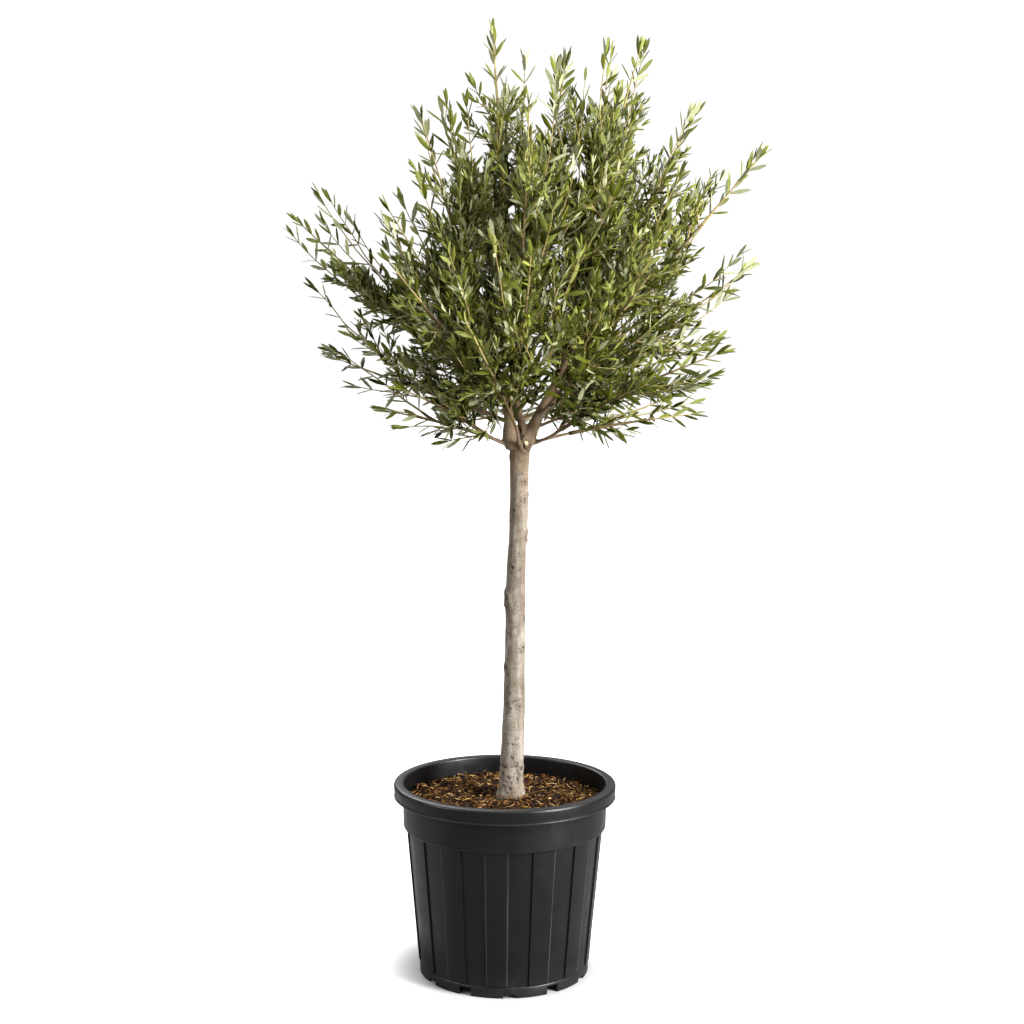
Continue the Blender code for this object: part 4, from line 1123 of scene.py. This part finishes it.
class Crown:
    """The space that the foliage fills, and whose part of it each place is."""

    def __init__(self, limbs):
        self.limbs = list(limbs.values())
        standing = [direction(bearing, rise) for bearing, rise, reach in STANDING_SHOOTS]
        self.axes = np.array([limb.axis for limb in self.limbs] + standing)
        self.reaches = np.array([limb.reach for limb in self.limbs] + [row[2] for row in STANDING_SHOOTS])
        self.sector_axes = np.array([limb.sector_axis for limb in self.limbs])

    def blend(self, axis):
        """How far the crown goes that way, as the leaders and standing shoots round it tell."""
        off = 2.0 * (1.0 - self.axes @ axis)
        weights = np.exp(-off / REACH_BLEND ** 2) + 1e-9
        return float((weights * self.reaches).sum() / weights.sum()), off

    def reach_towards(self, point):
        out = np.array(point - FORK)
        axis = out / max(np.linalg.norm(out), 1e-6)
        blended, off = self.blend(axis)
        rise = math.asin(clamped(axis[2], -1.0))
        share = mix(OPEN_LOW, OPEN_HIGH, clamped((rise - 0.35) / 0.6))
        close = min(share * blended, front_limit(axis))
        return max(close, float((self.reaches * (1.0 - CONE_LOSS * off)).max()))

    def depth(self, point):
        """A place's share of the way out, from 0 at the fork to 1 at the outside."""
        return (point - FORK).length / self.reach_towards(point)

    def owner(self, point):
        """The mass whose axis is nearest."""
        return int(np.argmax(self.sector_axes @ np.array(point - SECTOR_APEX)))

    def holds(self, point, owner):
        """Whether the owner's mass may have a twig at a place."""
        from_apex = self.sector_axes @ np.array(point - SECTOR_APEX)
        if from_apex[owner] < from_apex.max() - SECTOR_OVERLAP:
            return False
        out = point - FORK
        skirt = SKIRT_HEIGHT + SKIRT_RISE * max(0.0, math.hypot(out.x, out.y) - SKIRT_RADIUS)
        clear = before_fork(point) or in_window(point)
        return point.z > skirt and not clear and out.length < self.reach_towards(point)


def front_limit(axis):
    """How far the close foliage goes along an axis before it passes the front outline."""
    angle = math.degrees(math.atan2(axis[2], axis[0]))
    if angle < -90:
        angle += 360
    angles, limits = zip(*FRONT_LIMITS)
    return float(np.interp(angle, angles, limits)) / max(math.hypot(axis[0], axis[2]), 1e-6)


def before_fork(point):
    """The space in front of the fork, where the boughs show."""
    left, right, front, top = OPEN_FRONT
    return left < point.x < right and point.y < front and point.z < top


def in_window(point):
    """Whether a place lies where the sky shows through, as seen from the front."""
    eye_x, eye_y, eye_z = CAMERA_PLACE
    nearer = -eye_y / (point.y - eye_y)
    x, z = eye_x + (point.x - eye_x) * nearer, eye_z + (point.z - eye_z) * nearer
    return any(math.hypot(x - across, z - up) < radius for across, up, radius in WINDOWS)


# One leafy axis: its path, its thickness, its mass, its order and how far in its leaves start.
Spray = namedtuple("Spray", "path radii owner order first_leaf")


def evenly_round(count, crown, keep):
    """Those of count directions, spread evenly all round, that keep allows, and how far the crown goes there."""
    for index in range(count):
        rise = math.degrees(math.asin(1.0 - 2.0 * (index + 0.5) / count))
        axis = direction(math.degrees(index * GOLDEN_ANGLE) % 360, rise)
        if keep(rise, axis):
            yield axis, crown.blend(np.array(axis))[0]


def shoot_tips(crown, rng):
    """Ends of the standing shoots, and of more wherever the crown would be thin, from the fork."""
    tips = [direction(bearing, rise) * (reach - TIP_LEAF_ROOM) for bearing, rise, reach in STANDING_SHOOTS]
    taken = [limb.axis for limb in crown.limbs] + [tip.normalized() for tip in tips]

    def wanted(rise, axis):
        return rise >= LOWEST_RISE and min((axis - other).length for other in taken) >= FILLER_SPACING

    for axis, blended in evenly_round(FILLER_DIRECTIONS, crown, wanted):
        taken.append(axis)
        reach = min(blended * rng.uniform(*FILLER_REACH), FILLER_OUTLINE * front_limit(axis))
        tips.append(axis * (reach - TIP_LEAF_ROOM))
    for axis, blended in evenly_round(INNER_DIRECTIONS, crown, lambda rise, axis: rise > INNER_RISE):
        tips.append(axis * min(blended * rng.uniform(*INNER_REACH), INNER_OUTLINE * front_limit(axis)))
    return [FORK + tip for tip in tips]


def leader(owner, limb):
    """The leading shoot of a limb, which bends clear of the fork where it would hide it."""
    back = (limb.bough[-2] - limb.bough[-1]).normalized() * LEADER_OVERLAP
    full = 1.0 - TIP_LEAF_ROOM / path_length(limb.shoot)
    path = [limb.shoot[0] + back] + [along(limb.shoot, full * i / LEADER_STEPS)[0] for i in range(LEADER_STEPS + 1)]
    if not before_fork(path[len(path) // 2]):
        return Spray(path, LEADER_RADII, owner, 0, LEADER_FIRST_LEAF)
    path = [point + FORE_SHIFT * (i / (LEADER_STEPS + 1)) ** 1.2 for i, point in enumerate(path)]
    return Spray(path, FORE_RADII, owner, 0, LEADER_FIRST_LEAF)


def long_shoots(crown, rng):
    """The leaders, and a shoot from the nearest limb to each tip."""
    sprays = [leader(owner, limb) for owner, limb in enumerate(crown.limbs)]
    for tip in shoot_tips(crown, rng):
        if before_fork(tip):
            continue
        owner = crown.owner(tip)
        limb = crown.limbs[owner]
        whole = limb.curve + limb.shoot[1:]
        wanted = rng.uniform(*SHOOT_START) * (tip - FORK).length
        place = next((i for i, p in enumerate(whole) if (p - FORK).length > wanted), len(whole) // 2)
        place = clamped(place, 2, len(whole) - 3)
        start = whole[place]
        heading = (start - whole[place - 1]).normalized()
        gap = (tip - start).length
        outward = (tip - FORK).normalized()
        last = (outward + UP * (0.3 if outward.z > 0.4 else -0.05)).normalized()
        first = mix(heading, (tip - start).normalized(), SHOOT_TURN).normalized()
        controls = (start, start + first * SHOOT_HANDLE * gap, tip - last * SHOOT_HANDLE * gap, tip)
        path = swayed([curve_point(controls, step / SHOOT_STEPS) for step in range(SHOOT_STEPS + 1)])
        if not any(before_fork(point) for point in path[3:]):
            sprays.append(Spray(path, SHOOT_RADII, owner, 0, SHOOT_FIRST_LEAF))
    return sprays


def swayed(path):
    """The same path, swaying a little between its ends."""
    last = len(path) - 1
    return [p + noise.noise_vector(p * 14) * SWAY * math.sin(math.pi * i / last) for i, p in enumerate(path)]


def side_sprays(crown, parent, rule, radii, rng):
    """Twigs all round a shoot, each turned by the golden angle from the last."""
    spacing, longest, share_to_go, shortest, bare_end = rule
    length = path_length(parent.path)
    made = []
    turn = rng.uniform(0, math.tau)
    place = TWIG_START * length
    while place < length - bare_end:
        node, heading = along(parent.path, place / length)
        wanted = min(longest, share_to_go * (length - place) + shortest) * rng.uniform(0.6, 1.15)
        for attempt in range(TRIES):
            turn += GOLDEN_ANGLE
            side = square_to(heading, turn)
            angle = TWIG_ANGLE + rng.uniform(-TWIG_ANGLE_RANGE, TWIG_ANGLE_RANGE)
            path = twig_path(crown, parent.owner, node, heading * math.cos(angle) + side * math.sin(angle), wanted)
            if len(path) > 1 and path_length(path) > 0.6 * shortest:
                made.append(Spray(path, radii, parent.owner, parent.order + 1, TWIG_FIRST_LEAF))
                break
        place += spacing * rng.uniform(0.75, 1.25)
    return made


def twig_path(crown, owner, start, heading, length):
    """A twig that bends outwards and up to the light, as far as the crown has room for it."""
    path = [start]
    gone = 0.0
    while gone < length:
        outward = (path[-1] - FORK).normalized()
        lift = TWIG_LIFT if outward.z > 0.3 else -0.4 * TWIG_LIFT
        sway = noise.noise_vector(path[-1] * 26) * TWIG_SWAY
        heading = (mix(heading, outward, TWIG_BEND) + UP * lift + sway).normalized()
        point = path[-1] + heading * STEP
        if not crown.holds(point, owner):
            break
        path.append(point)
        gone += STEP
    return path


def grow_sprays(crown):
    rng = random.Random(SEED)
    sprays = long_shoots(crown, rng)
    twigs = []
    for shoot in sprays:
        twigs += side_sprays(crown, shoot, TWIGS, TWIG_RADII, rng)
    finer = []
    for twig in twigs:
        if path_length(twig.path) > FORKING_LENGTH:
            finer += side_sprays(crown, twig, SIDE_SHOOTS, SIDE_SHOOT_RADII, rng)
    return sprays + twigs + finer


# ---- leaves

def leaf_template():
    """Forward, sideways, arch and thickness shares of a leaf's 11 points: base, tip, then left, right and top."""
    rows = [(0.0, 0.0, 0.0, 0.0), (1.0, 0.0, 0.0, 0.0)]
    for forward, half in LEAF_STATIONS:
        rows.append((forward, -half, 0.0, 0.0))
        rows.append((forward, half, 0.0, 0.0))
        rows.append((forward, 0.0, LEAF_ARCH * half, 1.0))
    return np.array(rows)


def leaf_mesh(name, rows, materials):
    """A mesh of leaves, each a row: root, heading, face, length, bend and the shades above and beneath."""
    roots, ahead, faces, sizes, bends, tops, unders = map(np.array, zip(*rows))
    template = leaf_template()
    side = unit(np.cross(ahead, faces))
    upper = unit(np.cross(side, ahead))
    length = sizes[:, None]
    half = length * LEAF_WIDTH_SHARE / 2
    lift = template[None, :, 2] * half + template[None, :, 3] * LEAF_THICKNESS
    lift = lift - bends[:, None] * length * template[None, :, 0] ** 2
    points = (
        roots[:, None]
        + ahead[:, None] * (template[None, :, 0] * length)[..., None]
        + side[:, None] * (template[None, :, 1] * half)[..., None]
        + upper[:, None] * lift[..., None]
    )
    base = np.arange(len(rows))[:, None, None] * len(template)
    groups = []
    for shapes, shade in ((TOP_FACES, tops), (UNDER_FACES, unders)):
        for corners in (3, 4):
            chosen = np.array([shape for shape in shapes if len(shape) == corners])
            groups.append(((chosen[None] + base).reshape(-1, corners), np.repeat(shade, len(chosen))))
    mesh = mesh_from(name, points.reshape(-1, 3), groups, materials)
    mark_outlines(mesh, len(template))
    return mesh


def mark_outlines(mesh, leaf_points):
    """A crisp edge round each leaf, so that its two sides are shaded apart."""
    ends = np.zeros(len(mesh.edges) * 2, np.int32)
    mesh.edges.foreach_get("vertices", ends)
    ends = ends.reshape(-1, 2) % leaf_points
    on_outline = np.isin(ends, (0, 1, 2, 3, 5, 6, 8, 9)).all(axis=1)
    across = (ends.min(axis=1) > 1) & (np.abs(ends[:, 0] - ends[:, 1]) == 1)
    on_outline &= ~across
    sharp = mesh.attributes.new("sharp_edge", "BOOLEAN", "EDGE")
    sharp.data.foreach_set("value", on_outline)


def leaf_painted_light(crown, spray, rng):
    """The colours of a spray's leaves, as painted light and shade: dark inside the crown, lighter outside and on top,
    with a random tone.
    """
    tip = spray.path[-1]
    light = crown.depth(tip) * 1.25 + 0.3 * max(0.0, (tip - FORK).normalized().z) + rng.gauss(-0.62, 0.22)
    return clamped(light * 3.2, 0.0, 3.0)


def sideways(side, heading):
    """The part of side that is square to the heading, at length 1."""
    return (side - heading * side.dot(heading)).normalized()


def clothe(crown, spray, rng):
    """Rows of leaves in opposite pairs up the spray, each pair turned a quarter from the last."""
    length = path_length(spray.path)
    # Painted light and shade: the spray's leaf tone by how far out and how high it is.
    shade = leaf_painted_light(crown, spray, rng)
    under = len(LEAF_TOPS) + (0 if rng.random() < SILVER_SHARE else 1)
    vigour = VIGOUR[spray.order] * rng.uniform(0.88, 1.1)
    outer = crown.depth(spray.path[-1]) > OUTER_DEPTH
    look = shade, under, vigour, outer
    droop = max(0.0, 0.22 - (spray.path[-1].z - SKIRT_HEIGHT) / 0.5)
    heading = along(spray.path, 0.5)[1]
    side = square_to(heading, rng.uniform(0, math.tau))
    rows = []
    place = spray.first_leaf * length + 0.004
    while place < length:
        node, heading = along(spray.path, place / length)
        young = max(0.0, 1.0 - (length - place) / YOUNG_LENGTH) ** 1.3
        chance = clamped((crown.depth(node) - BARE_CORE[0]) / (BARE_CORE[1] - BARE_CORE[0]))
        side = sideways(side, heading)
        if rng.random() < chance:
            for hand in (1.0, -1.0):
                rows += leaf_row(rng, node, heading, side * hand, young, droop, look)
        side = Matrix.Rotation(math.pi / 2 + rng.gauss(0, 0.18), 3, heading) @ side
        place += LEAF_GAP * vigour * mix(1.0, 0.72, young) * rng.uniform(0.85, 1.15)
    tip, heading = along(spray.path, 1.0)
    side = sideways(side, heading)
    for hand in (1.0, -1.0):
        rows += leaf_row(rng, tip, heading, side * hand, 1.0, 0.0, look, rng.uniform(0.1, 0.24))
    return rows


def leaf_row(rng, node, heading, outward, young, droop, look, lean=None):
    """The row of a leaf in a list, which is empty where the leaf has dropped or would hide an opening."""
    shade, under, vigour, outer = look
    if rng.random() < DROPPED:
        return []
    if lean is None:
        lean = mix(*LEAF_LEAN, young) + rng.gauss(0, 0.14)
    ahead = heading * math.cos(lean) + outward * math.sin(lean)
    ahead = (ahead - UP * droop * rng.uniform(0.6, 1.6)).normalized()
    face = heading * math.sin(lean) - outward * math.cos(lean)
    face = (face + UP * 0.35 + (node - FORK).normalized() * 0.7).normalized()
    turned = math.pi if rng.random() < TURNED_OVER else 0.0
    face = Matrix.Rotation(turned + rng.gauss(0, 0.7), 3, ahead) @ face
    size = LEAF_LENGTH * vigour * mix(1.0, 0.9, young ** 1.6) * rng.uniform(0.8, 1.08)
    if before_fork(node + ahead * size) or (rng.random() < CLEARED and in_window(node + ahead * size * 0.5)):
        return []
    # Painted light: on sprays at the crown's outside the young leaves are made lighter still.
    step = shade + rng.gauss(0, 0.45) + (0.7 * young ** 2 if outer else 0.0)
    top = clamped(round(step), 0, len(LEAF_TOPS) - 1)
    root = node - ahead * 0.001
    return [(tuple(root), tuple(ahead), tuple(face), size, rng.uniform(-0.02, 0.13), top, under)]


def make_foliage(limbs):
    """The leaves and the twigs of each mass, as a piece each."""
    crown = Crown(limbs)
    sprays = grow_sprays(crown)
    rng = random.Random(SEED + 5)
    leaf_materials = [plain("leaf_top_" + name, colour, 0.42, 0.1) for name, colour in LEAF_TOPS.items()]
    leaf_materials += [plain("leaf_under_" + name, colour, 0.8, 0.06) for name, colour in LEAF_UNDERS.items()]
    stem_materials = [plain("shoot_" + name, colour, 0.75, 0.2) for name, colour in STEMS.items()]
    for owner, limb in enumerate(crown.limbs):
        own = [spray for spray in sprays if spray.owner == owner]
        rows = [row for spray in own for row in clothe(crown, spray, rng)]
        node = "foliage_" + limb.name
        add_piece(leaf_mesh("leaves_" + limb.name, rows, leaf_materials), "foliage", node)
        add_piece(twig_mesh("twigs_" + limb.name, own, stem_materials), "foliage", node)


def twig_mesh(name, sprays, materials):
    """The stems of a mass, thinner and greener to their tips."""
    points, groups = [], []
    first = 0
    for order, count in enumerate(STEM_POINTS):
        chosen = [spray for spray in sprays if spray.order == order]
        if not chosen:
            continue
        paths = np.array([evenly_spaced(spray.path, count) for spray in chosen])
        taper = np.linspace(0, 1, count)[None, :]
        radii = np.array([spray.radii for spray in chosen])
        widths = radii[:, :1] * (1 - taper) + radii[:, 1:] * taper
        points.append(tube_points(paths, widths, TUBE_SIDES).reshape(-1, 3))
        walls, caps = tube_faces(len(chosen), count, TUBE_SIDES, first)
        shade = np.searchsorted(STEM_SHADES, widths[:, :-1])
        groups.append((walls.reshape(-1, 4), np.repeat(shade.ravel(), TUBE_SIDES)))
        groups.append((caps.reshape(-1, TUBE_SIDES), shade[:, (0, -1)].ravel()))
        first += len(points[-1])
    return mesh_from(name, np.concatenate(points), groups, materials)


# ---- floor, light and camera

def floor_material():
    """Matt white, that throws back less light than it shows, and as white far off as near by, with a painted contact
    shadow round the pot's foot, where its glow is left out.
    """
    n = patterned("studio_white", 0.95, 0.0)
    seen = n.seen()
    far = n.add("VectorMath", (("operation", "LENGTH"),), Vector=n.place).outputs["Value"]
    # Painted contact shadow: the floor is darker near the pot's foot.
    shade = n.ramp(far, FLOOR_PAINTED_SHADOW, "B_SPLINE")
    glow = n.spread(far, *FLOOR_GLOW, "SMOOTHSTEP")
    n.feed(n.shader.inputs["Emission Color"], WHITE)
    n.feed(n.shader.inputs["Emission Strength"], n.math("MULTIPLY", glow, seen))
    return n.finish(n.mixed(seen, FLOOR_AS_LIGHT, shade))


def staged(name, points, faces, material):
    """A flat object of the studio."""
    mesh = bpy.data.meshes.new(name)
    mesh.from_pydata(points, [], faces)
    mesh.materials.append(material)
    return placed(name, mesh)


def make_floor():
    half = FLOOR_SIZE / 2
    points = [(-half, -half, 0), (half, -half, 0), (half, half, 0), (-half, half, 0)]
    floor = staged("studio_floor", points, [(0, 1, 2, 3)], floor_material())


def make_reflector():
    """A bright card on the floor, round the sides and the back, that only shows in glossy surfaces."""
    first, last = CARD_BEARINGS
    turns = [math.radians(first + (last - first) * i / CARD_STEPS) for i in range(CARD_STEPS + 1)]
    points = [(r * math.cos(turn), r * math.sin(turn), 0.001) for turn in turns for r in CARD_RADII]
    faces = [(2 * i, 2 * i + 1, 2 * i + 3, 2 * i + 2) for i in range(CARD_STEPS)]
    made = plain("studio_card", (0, 0, 0), 1.0, 0.0)
    inputs = made.node_tree.nodes["Principled BSDF"].inputs
    inputs["Emission Color"].default_value = WHITE
    inputs["Emission Strength"].default_value = REFLECTOR_STRENGTH
    card = staged("studio_reflector", points, faces, made)
    card.visible_camera = card.visible_diffuse = card.visible_shadow = False


def make_world():
    """White where it is seen; as a light, brightest overhead and dim round the sides."""
    world = bpy.data.worlds.new("studio")
    bpy.context.scene.world = world
    world.use_nodes = True
    n = Nodes(world)
    height = n.add("SeparateXYZ", Vector=n.places["Generated"]).outputs["Z"]
    dim = n.spread(height, 0.0, 1.0, *SKY_STRENGTHS)
    n.feed(n.shader.inputs["Strength"], n.mixed(n.seen(), dim, SKY_SEEN, "FLOAT"))
    n.feed(n.shader.inputs["Color"], WHITE)


def make_light(name, place, aim, size, power):
    """A round lamp that shines on a height above the origin."""
    data = bpy.data.lights.new(name, "AREA")
    data.shape = "DISK"
    data.size = size
    data.energy = power
    light = placed(name, data)
    light.location = place
    light.rotation_euler = (Vector((0.0, 0.0, aim)) - Vector(place)).to_track_quat("-Z", "Y").to_euler()
    light.visible_camera = False


def make_camera():
    data = bpy.data.cameras.new("camera")
    data.sensor_width = 36.0
    data.lens = CAMERA_LENS
    camera = placed("camera", data)
    turn = Matrix.Rotation(math.pi / 2 + CAMERA_PITCH, 4, "X") @ Matrix.Rotation(CAMERA_ROLL, 4, "Z")
    camera.matrix_world = Matrix.Translation(CAMERA_PLACE) @ turn
    bpy.context.scene.camera = camera


make_camera()
make_floor()
make_world()
for light in LIGHTS:
    make_light(*light)
make_reflector()
bpy.context.scene.view_settings.view_transform = "Standard"

make_pot()
make_mound()
browns = [plain("mix_" + name, colour, 0.9, 0.08) for name, colour in MIX_BROWNS.items()]
make_fibres(browns)
make_chips(browns)
limbs = grow_limbs()
make_wood(limbs)
make_pruning_cut()
make_foliage(limbs)
